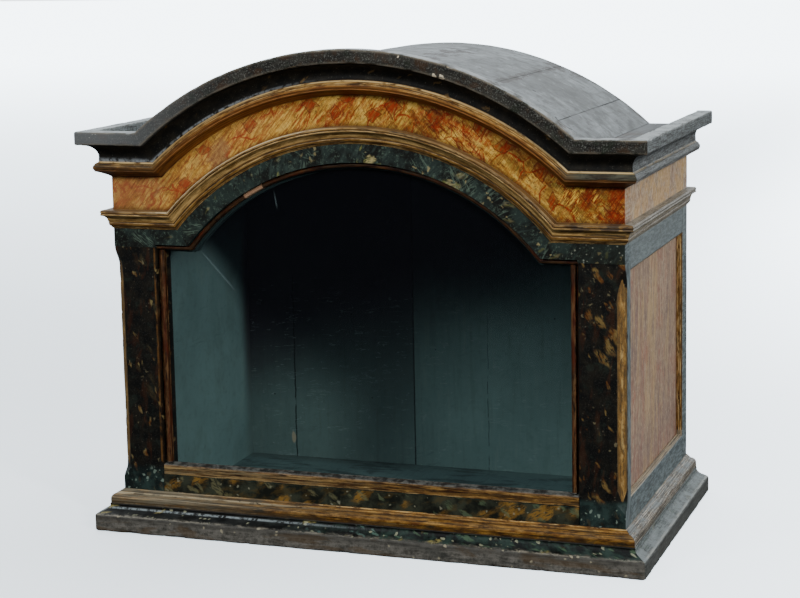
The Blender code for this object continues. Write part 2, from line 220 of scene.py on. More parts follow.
class Paint(NodeMaker):
    # one material: the Principled shader and what is painted in front of it
    def __init__(self, name, **plain):
        self.material = bpy.data.materials.new(name)
        self.material.use_nodes = True
        super().__init__(self.material.node_tree)
        self.shader = self.tree.nodes["Principled BSDF"]
        for socketName, value in plain.items():
            self.shader.inputs[socketName.replace("_", " ")].default_value = value

    def here(self):
        return self.node("ShaderNodeTexCoord", output=3)

    def onRun(self, *names):
        # the piece's own map, metres along the run and across its section, and its attributes
        place = self.node("ShaderNodeUVMap", {"uv_map": "run"})
        return (place, *(self.attribute(name) for name in names))

    def attribute(self, name):
        return self.node("ShaderNodeAttribute", {"attribute_name": name}, output=2)

    def facingUp(self, low, high):
        return self.node("ShaderNodeNewGeometry", output=1).split()[2].ease(low, high)

    def mix(self, amount, first, second):
        values = {0: amount, 6: shade(first), 7: shade(second)}
        return self.node("ShaderNodeMix", {"data_type": "RGBA"}, values, 2)

    def ramp(self, value, stops):
        made = self.node("ShaderNodeValToRGB", None, {0: value})
        elements = made.socket.node.color_ramp.elements
        while len(elements) < len(stops):
            elements.new(1.0)
        for element, (at, colour) in zip(elements, stops):
            element.position = at
            element.color = shade(colour)
        return made

    def finish(self, colour, roughness=None, metallic=None, height=None, strength=0.4, depth=0.5 * mm):
        normal = None
        if height is not None:
            values = {"Height": height, "Strength": strength, "Distance": depth}
            normal = self.node("ShaderNodeBump", None, values)
        pairs = (("Base Color", colour), ("Roughness", roughness),
                 ("Metallic", metallic), ("Normal", normal))
        for key, value in pairs:
            if isinstance(value, Wire):
                self.tree.links.new(value.socket, self.shader.inputs[key])
            elif value is not None:
                self.shader.inputs[key].default_value = value
        return self.material


def startPaint(name, shine):
    # a new paint, and the place on the case that it reads
    paint = Paint(name, Specular_IOR_Level=shine)
    here = paint.here()
    return (paint, here, *here.split())


class Builder(NodeMaker):
    # one Geometry Nodes tree with named inputs; its result becomes a plain mesh
    def __init__(self, name):
        super().__init__(bpy.data.node_groups.new(name, "GeometryNodeTree"))
        face = self.tree.interface
        face.new_socket("Geometry", in_out="OUTPUT", socket_type="NodeSocketGeometry")
        face.new_socket("Geometry", in_out="INPUT", socket_type="NodeSocketGeometry")
        self.inlet = self.tree.nodes.new("NodeGroupInput")
        self.keys = {}

    def given(self, name, value=None, kind="Float"):
        made = self.tree.interface.new_socket(name, in_out="INPUT", socket_type="NodeSocket" + kind)
        if value is not None:
            made.default_value = value
        self.keys[name] = made.identifier
        return Wire(self, self.inlet.outputs[name])

    def geometry(self):
        return Wire(self, self.inlet.outputs["Geometry"])

    def stored(self, name):
        return self.node("GeometryNodeInputNamedAttribute", {"data_type": "FLOAT"}, {"Name": name})

    def store(self, geometry, name, value):
        sockets = {"Geometry": geometry, "Name": name, "Value": value}
        return self.node("GeometryNodeStoreNamedAttribute", {"data_type": "FLOAT"}, sockets)

    def moved(self, geometry, **sockets):
        return self.node("GeometryNodeSetPosition", None, {"Geometry": geometry, **sockets})

    def worn(self, geometry):
        # a hand-planed surface: slow dips everywhere, and arrises nibbled back
        dips = self.given("Dips", 0.5 * mm)
        dipScale = self.given("Dip Scale", 22.0)
        chips = self.given("Chips", 1.6 * mm)
        chipScale = self.given("Chip Scale", 70.0)
        seed = self.given("Seed", 1.0)
        place = self.node("GeometryNodeInputPosition")
        normal = self.node("GeometryNodeInputNormal")
        slow = place.noise(dipScale, 2.0, 0.5, 0.0, seed)
        fine = place.noise(dipScale * 9, 2.0, 0.5, 0.0, seed + 3.1)
        bite = place.noise(chipScale, 3.0, 0.6, 0.3, seed + 7.7)
        worn = slow.ease(0.25, 0.75) * 0.8 + fine * 0.25
        bitten = bite.ease(0.53, 0.72) * self.stored("edge")
        depth = (worn * dips + bitten * chips) * self.stored("free")
        geometry = self.moved(geometry, Offset=normal.scaled(depth * -1.0))
        return self.store(geometry, "chip", bitten)

    def close(self, geometry):
        material = self.given("Material", kind="Material")
        whole = self.node("GeometryNodeRealizeInstances", None, {0: geometry})
        dressed = self.node("GeometryNodeSetMaterial", None, {"Geometry": whole, "Material": material})
        outlet = self.tree.nodes.new("NodeGroupOutput")
        self.tree.links.new(dressed.socket, outlet.inputs[0])
        return self

    def make(self, piece, values):
        # runs the tree on a piece, keeps the result as its mesh and drops the modifier
        modifier = piece.modifiers.new(self.tree.name, "NODES")
        modifier.node_group = self.tree
        for name, value in values.items():
            modifier[self.keys[name]] = value
        bpy.context.view_layer.update()
        graph = bpy.context.evaluated_depsgraph_get()
        ready = bpy.data.meshes.new_from_object(piece.evaluated_get(graph),
                                                preserve_all_data_layers=True, depsgraph=graph)
        piece.modifiers.clear()
        piece.data = ready
        ready.name = piece.name
        ready.shade_smooth()
        ready.set_sharp_from_angle(angle=math.radians(42))
        return piece


def meshPiece(name, points, faces, attributes=None, runMap=None):
    mesh = bpy.data.meshes.new(name)
    mesh.from_pydata(points, [], faces)
    for key, values in (attributes or {}).items():
        layer = mesh.attributes.new(key, "FLOAT", "POINT")
        layer.data.foreach_set("value", values)
    if runMap:
        layer = mesh.uv_layers.new(name="run")
        corners = [0] * len(mesh.loops)
        mesh.loops.foreach_get("vertex_index", corners)
        layer.data.foreach_set("uv", [part for corner in corners for part in runMap[corner]])
    mesh.validate()
    piece = bpy.data.objects.new(name, mesh)
    bpy.context.scene.collection.objects.link(piece)
    return piece


def settle(piece, slot, *nodes):
    # the finished piece rides on the case and stands for its plain solids
    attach(piece, "root")
    if nodes:
        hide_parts(*nodes)


def arcPoints(centre, radii, start, end, steps):
    across, up = radii if isinstance(radii, tuple) else (radii, radii)
    points = []
    for step in range(steps + 1):
        angle = math.radians(start + (end - start) * step / steps)
        points.append((centre[0] + across * math.cos(angle), centre[1] + up * math.sin(angle)))
    return points


def rounded(before, here, after):
    # a point drawn a little towards both of its neighbours
    return tuple(a * 0.25 + b * 0.5 + c * 0.25 for a, b, c in zip(before, here, after))


def grooved(point, middle, depth, halfWidth):
    out, height = point
    share = max(0.0, 1 - abs(height - middle * mm) / (halfWidth * mm))
    return (out - depth * mm * share, height)


def closeRing(corners, step, hidden, soften=2, grooves=()):
    # a section's corners as a dense ring of (out, height), arrises a little rounded;
    # grooves are fine lines cut along it, as (height, depth, half width)
    area = sum(a[0] * b[1] - b[0] * a[1] for a, b in zip(corners, corners[1:] + corners[:1]))
    if area < 0:
        corners = corners[::-1]
    ring = []
    held = []
    for first, second in zip(corners, corners[1:] + corners[:1]):
        unseen = hidden(first) and hidden(second)
        length = math.dist(first, second)
        pieces = max(1, math.ceil(length / (18 * mm if unseen else step)))
        for index in range(pieces):
            share = index / pieces
            ring.append(tuple(a + (b - a) * share for a, b in zip(first, second)))
            held.append(hidden(ring[-1]))
    count = len(ring)
    for turn in range(soften):
        ring = [here if held[i] else rounded(ring[i - 1], here, ring[(i + 1) % count])
                for i, here in enumerate(ring)]
    for groove in grooves:
        ring = [here if still else grooved(here, *groove) for here, still in zip(ring, held)]
    edges = []
    creases = []
    for i, here in enumerate(ring):
        before = ring[i - 2]
        after = ring[(i + 2) % count]
        first = (here[0] - before[0], here[1] - before[1])
        second = (after[0] - here[0], after[1] - here[1])
        cross = first[0] * second[1] - first[1] * second[0]
        turn = math.atan2(cross, first[0] * second[0] + first[1] * second[1])
        edges.append(0.0 if held[i] else max(0.0, min(1.0, (turn - 0.12) / 0.7)))
        creases.append(0.0 if held[i] else max(0.0, min(1.0, (-turn - 0.1) / 0.7)))
    lengths = [0.0]
    for first, second in zip(ring, ring[1:]):
        lengths.append(lengths[-1] + math.dist(first, second))
    return {"ring": ring, "held": held, "length": lengths, "marks": {"edge": edges, "crease": creases}}


def sectionStrip(name, section, stations, distances):
    # the section repeated at every station, for a tree to lay along its line
    ring = section["ring"]
    count = len(ring)
    last = len(stations) - 1
    fades = [min(1.0, number / 3, (last - number) / 3) for number in range(last + 1)]
    values = {key: marks * (last + 1) for key, marks in section["marks"].items()}
    values["out"] = [out for out, height in ring] * (last + 1)
    values["height"] = [height for out, height in ring] * (last + 1)
    values["along"] = [along for along in stations for point in ring]
    values["free"] = [0.0 if still else fade for fade in fades for still in section["held"]]
    points = [(along, -out, height) for along in stations for out, height in ring]
    runMap = [(distance, length) for distance in distances for length in section["length"]]
    faces = []
    for row in range(0, last * count, count):
        for index in range(count):
            after = (index + 1) % count
            faces.append((row + index, row + count + index, row + count + after, row + after))
    faces += [tuple(range(count)), tuple(range(last * count + count - 1, last * count - 1, -1))]
    return meshPiece(name, points, faces, values, runMap)


def frameOf(along, out, origin=(0, 0, 0)):
    # turns a run's own axes to the case: X goes along, -Y goes out, Z follows
    forward = Vector(along)
    inward = -Vector(out)
    up = forward.cross(inward)
    turn = Matrix((forward, inward, up)).transposed()
    return Matrix.Translation(Vector(origin)) @ turn.to_4x4()


def archedBuilder():
    # level at both ends and arched between, each height on its own radius
    builder = Builder("archedRun")
    footHeight = builder.given("Foot Height", 0.5)
    topHeight = builder.given("Top Height", 0.6)
    footRadius = builder.given("Foot Radius", 0.4)
    topRadius = builder.given("Top Radius", 0.5)
    centre = builder.given("Arch Centre", 0.2)
    half = builder.given("Half Length", 0.4)
    mitre = builder.given("Mitre", 1.0)
    share = builder.given("Arch Share", 0.8)
    out = builder.stored("out")
    height = builder.stored("height")
    along = builder.stored("along")
    radius = height.span(footHeight, topHeight, footRadius, topRadius)
    rise = height - centre
    kink = (radius * radius - rise * rise).root()
    whole = kink.angle(rise)
    angle = whole * (along.size() / share).least(1.0)
    level = ((along.size() - share) / (1.0 - share)).most(0.0)
    side = along.sign()
    across = side * (radius * angle.sine() + level * (half + out * mitre - kink))
    up = centre + radius * angle.cosine()
    laid = builder.moved(builder.geometry(), Position=builder.join(across, out * -1.0, up))
    return builder.close(builder.worn(laid))


def straightBuilder():
    builder = Builder("straightRun")
    start = builder.given("Start", 0.0)
    end = builder.given("End", 1.0)
    mitreStart = builder.given("Mitre Start", 0.0)
    mitreEnd = builder.given("Mitre End", 0.0)
    corner = builder.given("Corner", 0.0)
    cornerHeight = builder.given("Corner Height", 1.0)
    out = builder.stored("out")
    height = builder.stored("height")
    first = start - out * mitreStart
    across = first + (end + out * mitreEnd - first) * builder.stored("along")
    # a worn corner: the last stretch before a mitre bends round with this radius
    radius = corner * out.ease(20 * mm, 30 * mm) * height.ease(cornerHeight, cornerHeight - 4 * mm) + 1e-6
    inset = 0.0
    rest = end + out * mitreEnd - across
    for mitre, apart, side in ((mitreStart, across - first, -1), (mitreEnd, rest, 1)):
        angle = (1.0 - (apart / radius).least(1.0)) * (mitre * (math.pi / 4))
        turned = mitre * (apart < radius)
        across = across + turned * (apart - radius + radius * angle.sine()) * side
        inset = inset + radius * (1.0 - angle.cosine())
    place = builder.join(across, inset - out, height)
    laid = builder.moved(builder.geometry(), Position=place)
    return builder.close(builder.worn(laid))


archedRun = archedBuilder()
straightRun = straightBuilder()
gap = 0.3 * mm
sides = (("left", -1), ("right", 1))


def upward(side, low, high):
    # a span along a run that goes back on the right side and forward on the left one
    return (low, high) if side > 0 else (-high, -low)


def archStations(radius, height, end, step, share):
    # even steps along the arch and along both level ends: their shares and their distances
    kink = math.sqrt(radius ** 2 - (height - arch["centre"]) ** 2)
    bend = radius * math.asin(kink / radius)
    onArch = math.ceil(bend / step)
    onLevel = math.ceil((end - kink) / step)

    def spread(arched, level):
        half = [arched * index / onArch for index in range(onArch)]
        half += [arched + level * index / onLevel for index in range(onLevel + 1)]
        return [-value for value in half[:0:-1]] + half
    return spread(share, 1 - share), spread(bend, end - kink)


def layArched(name, section, heights, radii, half, mitre, wear, material, step=3.2 * mm):
    share = 0.8
    radius = (radii[0] + radii[1]) / 2
    height = (heights[0] + heights[1]) / 2
    piece = sectionStrip(name, section, *archStations(radius, height, half, step, share))
    values = {
        "Foot Height": heights[0], "Top Height": heights[1],
        "Foot Radius": radii[0], "Top Radius": radii[1],
        "Arch Centre": arch["centre"], "Half Length": half,
        "Mitre": mitre, "Arch Share": share, "Material": material, **wear,
    }
    archedRun.make(piece, values)
    piece.data.transform(Matrix.Translation((0, case["front"], 0)))
    return piece


def layStraight(name, section, span, mitres, place, wear, material, step=4 * mm):
    start, end = span
    count = max(6, math.ceil((end - start) / step))
    stations = [index / count for index in range(count + 1)]
    piece = sectionStrip(name, section, stations, [start + (end - start) * share for share in stations])
    values = {
        "Start": start, "End": end, "Mitre Start": mitres[0], "Mitre End": mitres[1],
        "Material": material, **wear,
    }
    straightRun.make(piece, values)
    piece.data.transform(place)
    return piece


def wearOf(dips, chips, chipScale, seed):
    return {"Dips": dips * mm, "Chips": chips * mm, "Chip Scale": chipScale, "Seed": float(seed)}


def onAllSides(stem, node, slot, section, wear, material, heights=None, radii=None):
    # the same moulding across the front and along both sides, mitred at the corners
    half = case["half"] - gap / 2
    step = 3.2 * mm
    if radii:
        front = layArched(stem + "Front", section, heights, radii, half, 1.0, wear, material, step)
    else:
        place = Matrix.Translation((0, case["front"], 0))
        front = layStraight(stem + "Front", section, (-half, half), (1.0, 1.0), place, wear, material, step)
    settle(front, slot, node + "front")
    for word, side in sides:
        place = frameOf((0, side, 0), (side, 0, 0), (side * case["half"], 0, 0))
        span = upward(side, case["front"] + gap, case["back"])
        mitres = (1.0, 0.0)[::side]
        sideWear = {**wear, "Seed": wear["Seed"] + 5.3 + side}
        piece = layStraight(stem + word.capitalize(), section, span, mitres, place, sideWear, material, step)
        settle(piece, slot, node + word)


friezeLook = {
    "ground": ((0.39, (88, 58, 20)), (0.45, (156, 106, 38)), (0.5, (206, 156, 62)),
               (0.56, (230, 192, 98)), (0.62, (150, 126, 60))),
    "red": (152, 38, 8),
    "darkRed": (98, 20, 7),
    "brown": (88, 46, 16),
    "violet": (112, 80, 70),
    "yellow": (234, 200, 104),
    "olive": (124, 112, 40),
    "blobs": 17.0,
    # lozenges: where across, how high, and half their width and height in mm
    "marks": ((-0.07, 0.665, 13, 11), (-0.031, 0.655, 9, 11), (-0.013, 0.675, 12, 7),
              (0.027, 0.651, 12, 10),
              (0.059, 0.663, 13, 16), (-0.167, 0.634, 12, 11), (-0.245, 0.596, 12, 8),
              (-0.277, 0.545, 10, 9), (0.121, 0.648, 14, 12), (0.19, 0.634, 10, 14),
              (0.225, 0.608, 15, 10), (0.279, 0.576, 13, 17), (0.296, 0.532, 8, 14),
              (0.347, 0.541, 7, 12), (0.382, 0.513, 12, 8), (0.388, 0.542, 9, 14)),
}
fasciaLook = {
    "dark": (21, 21, 19),
    "green": (41, 52, 48),
    "grey": (62, 76, 70),
    "pale": (104, 124, 108),
    "cream": (190, 174, 122),
    "yellow": (140, 142, 78),
}


def archPlace(x, z):
    # how far above the architrave's top line, and how far along it
    rise = z - arch["centre"]
    aboveArch = (x * x + rise * rise).root() - arch["architrave"][1]
    above = z - case["architraveTop"]
    level = above < aboveArch
    along = x.angle(rise) * 0.43 * (1.0 - level) + x * level
    return along, above.least(aboveArch)


def onSide(x, y):
    # 1 on the mouldings of the sides, 0 on those of the front
    return (x.size() - case["half"]) > (case["front"] - y)


def friezeColour(paint, where, look, redness, turned):
    # ochre brushed one way, and red marbling over it; turned is where the hand worked the other way
    clouds = where.noise(24, 4, 0.62, 0.5)
    brushed = where.brushed(26, 240, 48, 4, 0.64, 0.2, 1.0) * (1.0 - turned)
    brushed = brushed + where.brushed(30, 200, -40, 4, 0.66, 0.3, 11.0) * turned
    fine = where.brushed(60, 520, 54, 3, 0.66, 0.2, 3.0)
    colour = paint.ramp(clouds * 0.3 + brushed * 0.38 + fine * 0.32, look["ground"])
    combed = where.brushed(30, 420, 50, 3, 0.62, 0.2, 18.0) * (1.0 - turned * 0.7)
    colour.lay(combed.ease(0.52, 0.6) * clouds.ease(0.4, 0.54) * 0.6, (142, 66, 24))
    colour.lay(combed.ease(0.46, 0.38) * clouds.ease(0.56, 0.44) * 0.45, look["brown"])
    pale = where.scratches(52, 2.0, 0.03, 0.42) * brushed.ease(0.44, 0.56)
    colour.lay(pale * 0.4, look["yellow"])
    olive = where.noise(26, 4, 0.66, 0.6, 15.0).ease(0.52, 0.62)
    colour.lay(olive * (0.25 + turned * 0.2), look["olive"])
    smudge = where.brushed(11, 24, 48, 4, 0.62, 0.5, 6.0).ease(0.55, 0.66)
    colour.lay(smudge * (1.0 - turned) * 0.6, look["violet"])
    patch = where.brushed(13, 34, 54, 5, 0.66, 0.6, 2.0)
    patchRight = where.brushed(13, 34, -48, 5, 0.66, 0.6, 12.0)
    patch = patch * (1.0 - turned) + patchRight * turned
    haze = (patch + turned * 0.03).ease(0.5, 0.6) * fine.ease(0.4, 0.54)
    colour.lay(haze * 0.85 * redness, look["red"])
    loose = where.ragged(30, 0.016, 4.0).ragged(120, 0.006, 5.0)
    away, chance = loose.spots(look["blobs"], "MANHATTAN", 0.8)
    there = (chance[0] < 0.3) * redness
    blob = away.ease(0.3, 0.22) * there
    colour.lay(blob * (0.45 + fine * 0.7), look["red"])
    rings = away.line(0.3, 0.035) + away.line(0.42, 0.025) * 0.6
    colour.lay(rings * there * fine.ease(0.36, 0.48) * 0.8, look["darkRed"])
    broken = where.noise(20, 2, 0.5, 0, 8.0)
    bent = where.ragged(18, 0.05, 1.0).ragged(90, 0.008)
    loops = bent.leaned(0.8, 1.5, 50).veins(17, 0.032) * fine.ease(0.34, 0.46)
    colour.lay(loops * broken.ease(0.44, 0.53) * redness * 0.95, look["red"])
    web = bent.leaned(1.3, 1.0, 20).veins(34, 0.05) * turned
    colour.lay(web * broken.ease(0.54, 0.44) * redness * 0.75, look["red"])
    rising = where.scratches(60, 6.0, 0.035, 0.5) * broken.ease(0.42, 0.54) * (1.0 - turned * 0.6)
    colour.lay(rising * 0.75 * redness, look["red"])
    falling = where.scratches(-46, 7.0, 0.035, 0.5) * broken.ease(0.56, 0.44) * (0.25 + turned * 0.75)
    colour.lay(falling * 0.8 * redness, look["darkRed"])
    hatch = where.scratches(-62, 9.0, 0.03, 0.8)
    hatch = hatch * where.noise(22, 2, 0.5, 0, 5.0).ease(0.46, 0.56) * (0.4 + turned * 0.6)
    colour.lay(hatch * 0.8, look["brown"])
    grime = where.noise(210, 4, 0.74, 0, 10.0)
    colour.lay(grime.ease(0.52, 0.63) * 0.6, look["brown"])
    colour.lay(grime.ease(0.45, 0.36) * 0.25, look["yellow"])
    return colour, fine, clouds


def redMarks(paint, where, colour, fine, look):
    # the lozenges dabbed on last, each with a darker outline
    loose = where.ragged(60, 0.012, 21.0).ragged(220, 0.004, 22.0)
    nearest = None
    for x, z, wide, tall in look["marks"]:
        apart = loose.vector("SUBTRACT", (x, z, 0.0)).vector("ABSOLUTE")
        away = apart.vector("DOT_PRODUCT", (1 / (wide * mm), 1 / (tall * mm), 0.0), output=1)
        nearest = away if nearest is None else nearest.least(away)
    streaks = where.brushed(40, 240, 58, 3, 0.6, 0.3, 23.0).ease(0.42, 0.56)
    body = nearest.ease(1.05, 0.8) * (0.3 + fine.ease(0.38, 0.56) * 0.3 + streaks * 0.4)
    colour.lay(body * 0.9, paint.mix(streaks, look["darkRed"], look["red"]))
    colour.lay(nearest.line(1.05, 0.16) * fine.ease(0.3, 0.42) * 0.8, look["darkRed"])


def fasciaColour(where, look, x):
    # x thins the flecks out towards the left end
    cloud = where.noise(22, 5, 0.65, 0.5)
    colour = cloud.tones(0.42, 0.6, look["dark"], look["green"])
    brushed = where.brushed(30, 120, 56, 4, 0.64, 0.3, 2.0)
    colour.lay(brushed.ease(0.5, 0.66) * 0.5, look["grey"])
    thin = where.scratches(62, 4.0, 0.03, 0.55) * where.noise(16, 2, 0.5, 0, 3.0).ease(0.56, 0.62)
    colour.lay(thin * 0.45, look["pale"])
    back = where.scratches(-38, 14.0, 0.03, 0.4) * where.noise(14, 2, 0.5, 0, 9.0).ease(0.58, 0.64)
    colour.lay(back * 0.5, look["pale"])
    grime = where.noise(230, 4, 0.74, 0, 10.0)
    colour.lay(grime.ease(0.53, 0.66) * 0.5, look["pale"])
    big = where.strokes(24, 0.29, 0.42, 3.0, 16)
    mid = where.strokes(48, 0.24, 0.2, 6.0, 58)
    small = where.ragged(60, 0.02, 9.0).ragged(220, 0.008, 8.0).dabs(120, 0.26, 0.16, 0.12)
    fewer = 1.0 - x.ease(0.06, 0.2) * 0.62
    big = big * x.ease(-0.36, -0.2) * fewer
    mid = mid * x.ease(-0.38, -0.1) * fewer
    colour.lay(mid * 0.6, look["yellow"])
    tone = brushed.tones(0.42, 0.56, look["yellow"], look["cream"])
    colour.lay(big * 0.8, tone)
    colour.lay(small * x.ease(-0.3, 0.05) * 0.5, look["cream"])
    return colour, big + mid


def headBoardPaint():
    paint, here, x, y, z = startPaint("friezeAndFasciaPaint", 0.2)
    along, above = archPlace(x, z)
    where = paint.join(along, above, y)
    turned = x.ease(0.02, 0.16)
    frieze, fine, clouds = friezeColour(paint, paint.join(x, z, y), friezeLook, 1.0, turned)
    redMarks(paint, paint.join(x, z, 0.0), frieze, fine, friezeLook)
    pale = paint.mix(0.45, frieze, fine.tones(0.4, 0.6, (118, 78, 56), (160, 124, 84)))
    frieze.lay(x.ease(-0.29, -0.34) * 0.8, pale)
    frieze.lay(x.ease(0.0, -0.22) * 0.18, (196, 126, 80))
    shadow = x.ease(0.1, 0.3) * above.ease(30 * mm, 48 * mm)
    frieze.lay(shadow * clouds.ease(0.4, 0.6) * 0.8, (120, 36, 10))
    frieze.lay(x.ease(0.36, 0.4) * clouds.ease(0.46, 0.54) * 0.5, (140, 38, 12))
    burnt = x.ease(0.2, 0.36) * fine.ease(0.5, 0.57)
    frieze.lay(burnt * 0.6, (80, 42, 14))
    lit = x.ease(0.24, 0.34) * clouds.ease(0.46, 0.4) * fine.ease(0.5, 0.44)
    frieze.lay(lit * 0.7, (250, 204, 86))
    fascia, flecks = fasciaColour(where, fasciaLook, x)
    fascia.lay(x.ease(0.3, 0.36) * clouds.ease(0.34, 0.5) * 0.6, (28, 30, 25))
    spray = where.ragged(300, 0.004, 15.0).dabs(230, 0.24, 0.3, 0.1) * x.ease(0.28, 0.34)
    fascia.lay(spray * 0.45, (170, 176, 160))
    upper = above.ease(-16 * mm, -14 * mm)
    colour = paint.mix(upper, fascia, frieze)
    # the ends of the board carry the side's colours
    end = x.size().ease(0.3992, 0.3996)
    colour.lay(end * upper, sideFrieze(paint, frieze, fine, clouds))
    colour.lay(end * (1.0 - upper), hazeColour(paint, paint.join(y, z, x)))
    behind = y.ease(case["front"] + 2 * mm, case["front"] + 3 * mm) * (1.0 - end)
    timber = fine.tones(0.4, 0.6, (58, 60, 60), (98, 102, 104))
    dull = paint.mix(paint.facingUp(0.5, 0.9), (52, 72, 72), timber)
    colour.lay(behind, dull)
    underline = above.ease(8 * mm, 0.0) * upper
    colour.lay(underline * 0.6, (56, 30, 14))
    height = fine * 0.6 + clouds * 0.5 + flecks * 0.4
    rough = 0.38 + fine * 0.25
    return paint.finish(colour, rough, None, height, 0.45, 0.5 * mm)


def sideFrieze(paint, frieze, fine, clouds):
    # the frieze of the sides under its dust
    tan = fine.tones(0.4, 0.6, (164, 138, 120), (220, 208, 190))
    tan.lay(clouds.ease(0.47, 0.57) * 0.5, (222, 178, 112))
    tan.lay(clouds.ease(0.44, 0.36) * 0.4, (150, 122, 122))
    grime = paint.here().noise(125, 4, 0.72, 0.3, 26.0)
    tan.lay(grime.ease(0.52, 0.62) * 0.55, (126, 96, 80))
    tan.lay(grime.ease(0.48, 0.38) * 0.5, (240, 228, 202))
    return paint.mix(0.7, frieze, tan)


hazeLook = {"ground": ((74, 84, 87), (132, 144, 146))}


def hazeColour(paint, where):
    # the sides' dark paint, greyed and rubbed along its grain
    fine = where.grained((60, 300, 1), 4, 0.65)
    broad = where.noise(26, 4, 0.65, 0.4, 3.0)
    colour = fine.tones(0.36, 0.64, *hazeLook["ground"])
    return paint.mix(broad.ease(0.54, 0.68) * 0.5, colour, (84, 78, 70))


gildingLook = {
    "gold": ((0.4, (28, 18, 7)), (0.46, (88, 56, 18)), (0.505, (136, 94, 34)),
             (0.56, (168, 124, 54)), (0.64, (202, 164, 96))),
    "bole": (84, 32, 10),
    "dirt": (18, 12, 8),
    "bright": (232, 200, 140),
}


def gildedColour(paint, where, look, edge, crease, seed=0.0):
    # leaf worn in stripes along the run and in blotches, with dirt and painted shade in the hollows and
    # painted highlights on the arrises
    stripes = where.grained((8, 480, 1), 4, 0.62, 0.0, seed)
    clouds = where.grained((30, 110, 1), 5, 0.7, 0.5, seed + 2)
    mottle = where.grained((40, 210, 1), 5, 0.7, 0.4, seed + 7)
    colour = paint.ramp(stripes * 0.3 + clouds * 0.34 + mottle * 0.36, look["gold"])
    colour.lay(stripes.ease(0.45, 0.36) * 0.75, look["dirt"])
    rubbed = where.grained((34, 90, 1), 4, 0.68, 0.4, seed + 5)
    fine = where.noise(420, 2, 0.65, 0, seed + 9)
    colour.lay(rubbed.ease(0.56, 0.66) * 0.6, look["bole"])
    colour.lay(fine.ease(0.55, 0.68) * 0.5, look["dirt"])
    colour.lay(stripes.ease(0.57, 0.64) * clouds.ease(0.44, 0.56) * 0.55, look["bright"])
    # dirt and painted shade in the creases
    colour.lay(crease * 0.9, look["dirt"])
    # painted highlight on the arrises, broken where the leaf is rubbed
    shine = edge * (0.2 + rubbed.ease(0.56, 0.44) * 0.8) * mottle.ease(0.4, 0.52)
    return paint.mix(shine * 0.85, colour, look["bright"]), stripes, rubbed


def dustySides(colour, here, amount, tone=(136, 142, 142), hollow=(54, 55, 52)):
    # dust along the mouldings of the sides
    x, y, z = here.split()
    paint = here.maker
    fine = here.noise(240, 3, 0.7, 0, 12.0)
    striped = paint.onRun()[0].grained((26, 620, 1), 4, 0.68, 0.3, 13.0)
    grey = (fine * 0.4 + striped * 0.6).tones(0.4, 0.6, hollow, tone)
    colour.lay(onSide(x, y) * amount * (0.65 + fine * 0.5), grey)


architraveLook = {"olive": ((112, 84, 38), (222, 184, 116))}


def architravePaint():
    paint, here, x, y, z = startPaint("architraveGilding", 0.35)
    front = 1.0 - onSide(x, y)
    where, edge, crease, height = paint.onRun("edge", "crease", "height")
    colour, stripes, rubbed = gildedColour(paint, where, gildingLook, edge, crease)
    foot = case["architraveFoot"]
    for level, wide, depth in ((19.4, 1.1, 0.85), (23.4, 0.8, 0.7), (13.6, 0.8, 0.55), (4.2, 1.0, 0.6)):
        groove = height.line(foot + level * mm, wide * mm) * rubbed.ease(0.34, 0.46)
        colour.lay(groove * depth, (52, 34, 17))
    colour.lay(0.12, (136, 108, 66))
    # painted light: the hollow under the top fillet lightened against the shade it lies in
    hollow = height.ease(foot + 10.5 * mm, foot + 13.5 * mm)
    hollow = hollow * height.ease(foot + 22.4 * mm, foot + 20.4 * mm)
    olive = (stripes * 0.5 + rubbed * 0.5).tones(0.42, 0.58, *architraveLook["olive"])
    colour.lay(hollow * 0.72, olive)
    topFillet = height.ease(foot + 25 * mm, foot + 27.5 * mm)
    colour.lay(topFillet * 0.65, stripes.tones(0.4, 0.6, (62, 46, 30), (150, 124, 86)))
    # painted highlight along the top fillet at the left end
    shine = height.line(foot + 27.8 * mm, 1.3 * mm) * x.ease(0.0, -0.12) * x.ease(-0.36, -0.3)
    colour.lay(shine * rubbed.ease(0.36, 0.46) * 0.85, (242, 224, 180))
    patches = paint.join(x, z, y).brushed(26, 60, 0, 3, 0.6, 0.5, 4.0).ease(0.47, 0.51)
    patches = patches * height.ease(foot + 10.5 * mm, foot + 13 * mm) * x.ease(0.3, 0.335)
    colour.lay(patches * 0.75, (44, 35, 33))
    dustySides(colour, here, 0.88, (178, 174, 162), (88, 86, 78))
    metal = 0.4 * stripes.ease(0.4, 0.6) * (1.0 - patches) * (1.0 - hollow) * front
    rough = 0.34 + rubbed * 0.3
    return paint.finish(colour, rough, metal, stripes * 0.7 + rubbed * 0.5, 0.5, 0.6 * mm)


bedLook = {
    "brown": ((94, 52, 22), (168, 106, 50)),
    "grimy": ((20, 17, 12), (84, 66, 40)),
    "mouldy": ((24, 27, 24), (82, 84, 70)),
    "dark": ((11, 12, 11), (34, 31, 24)),
}


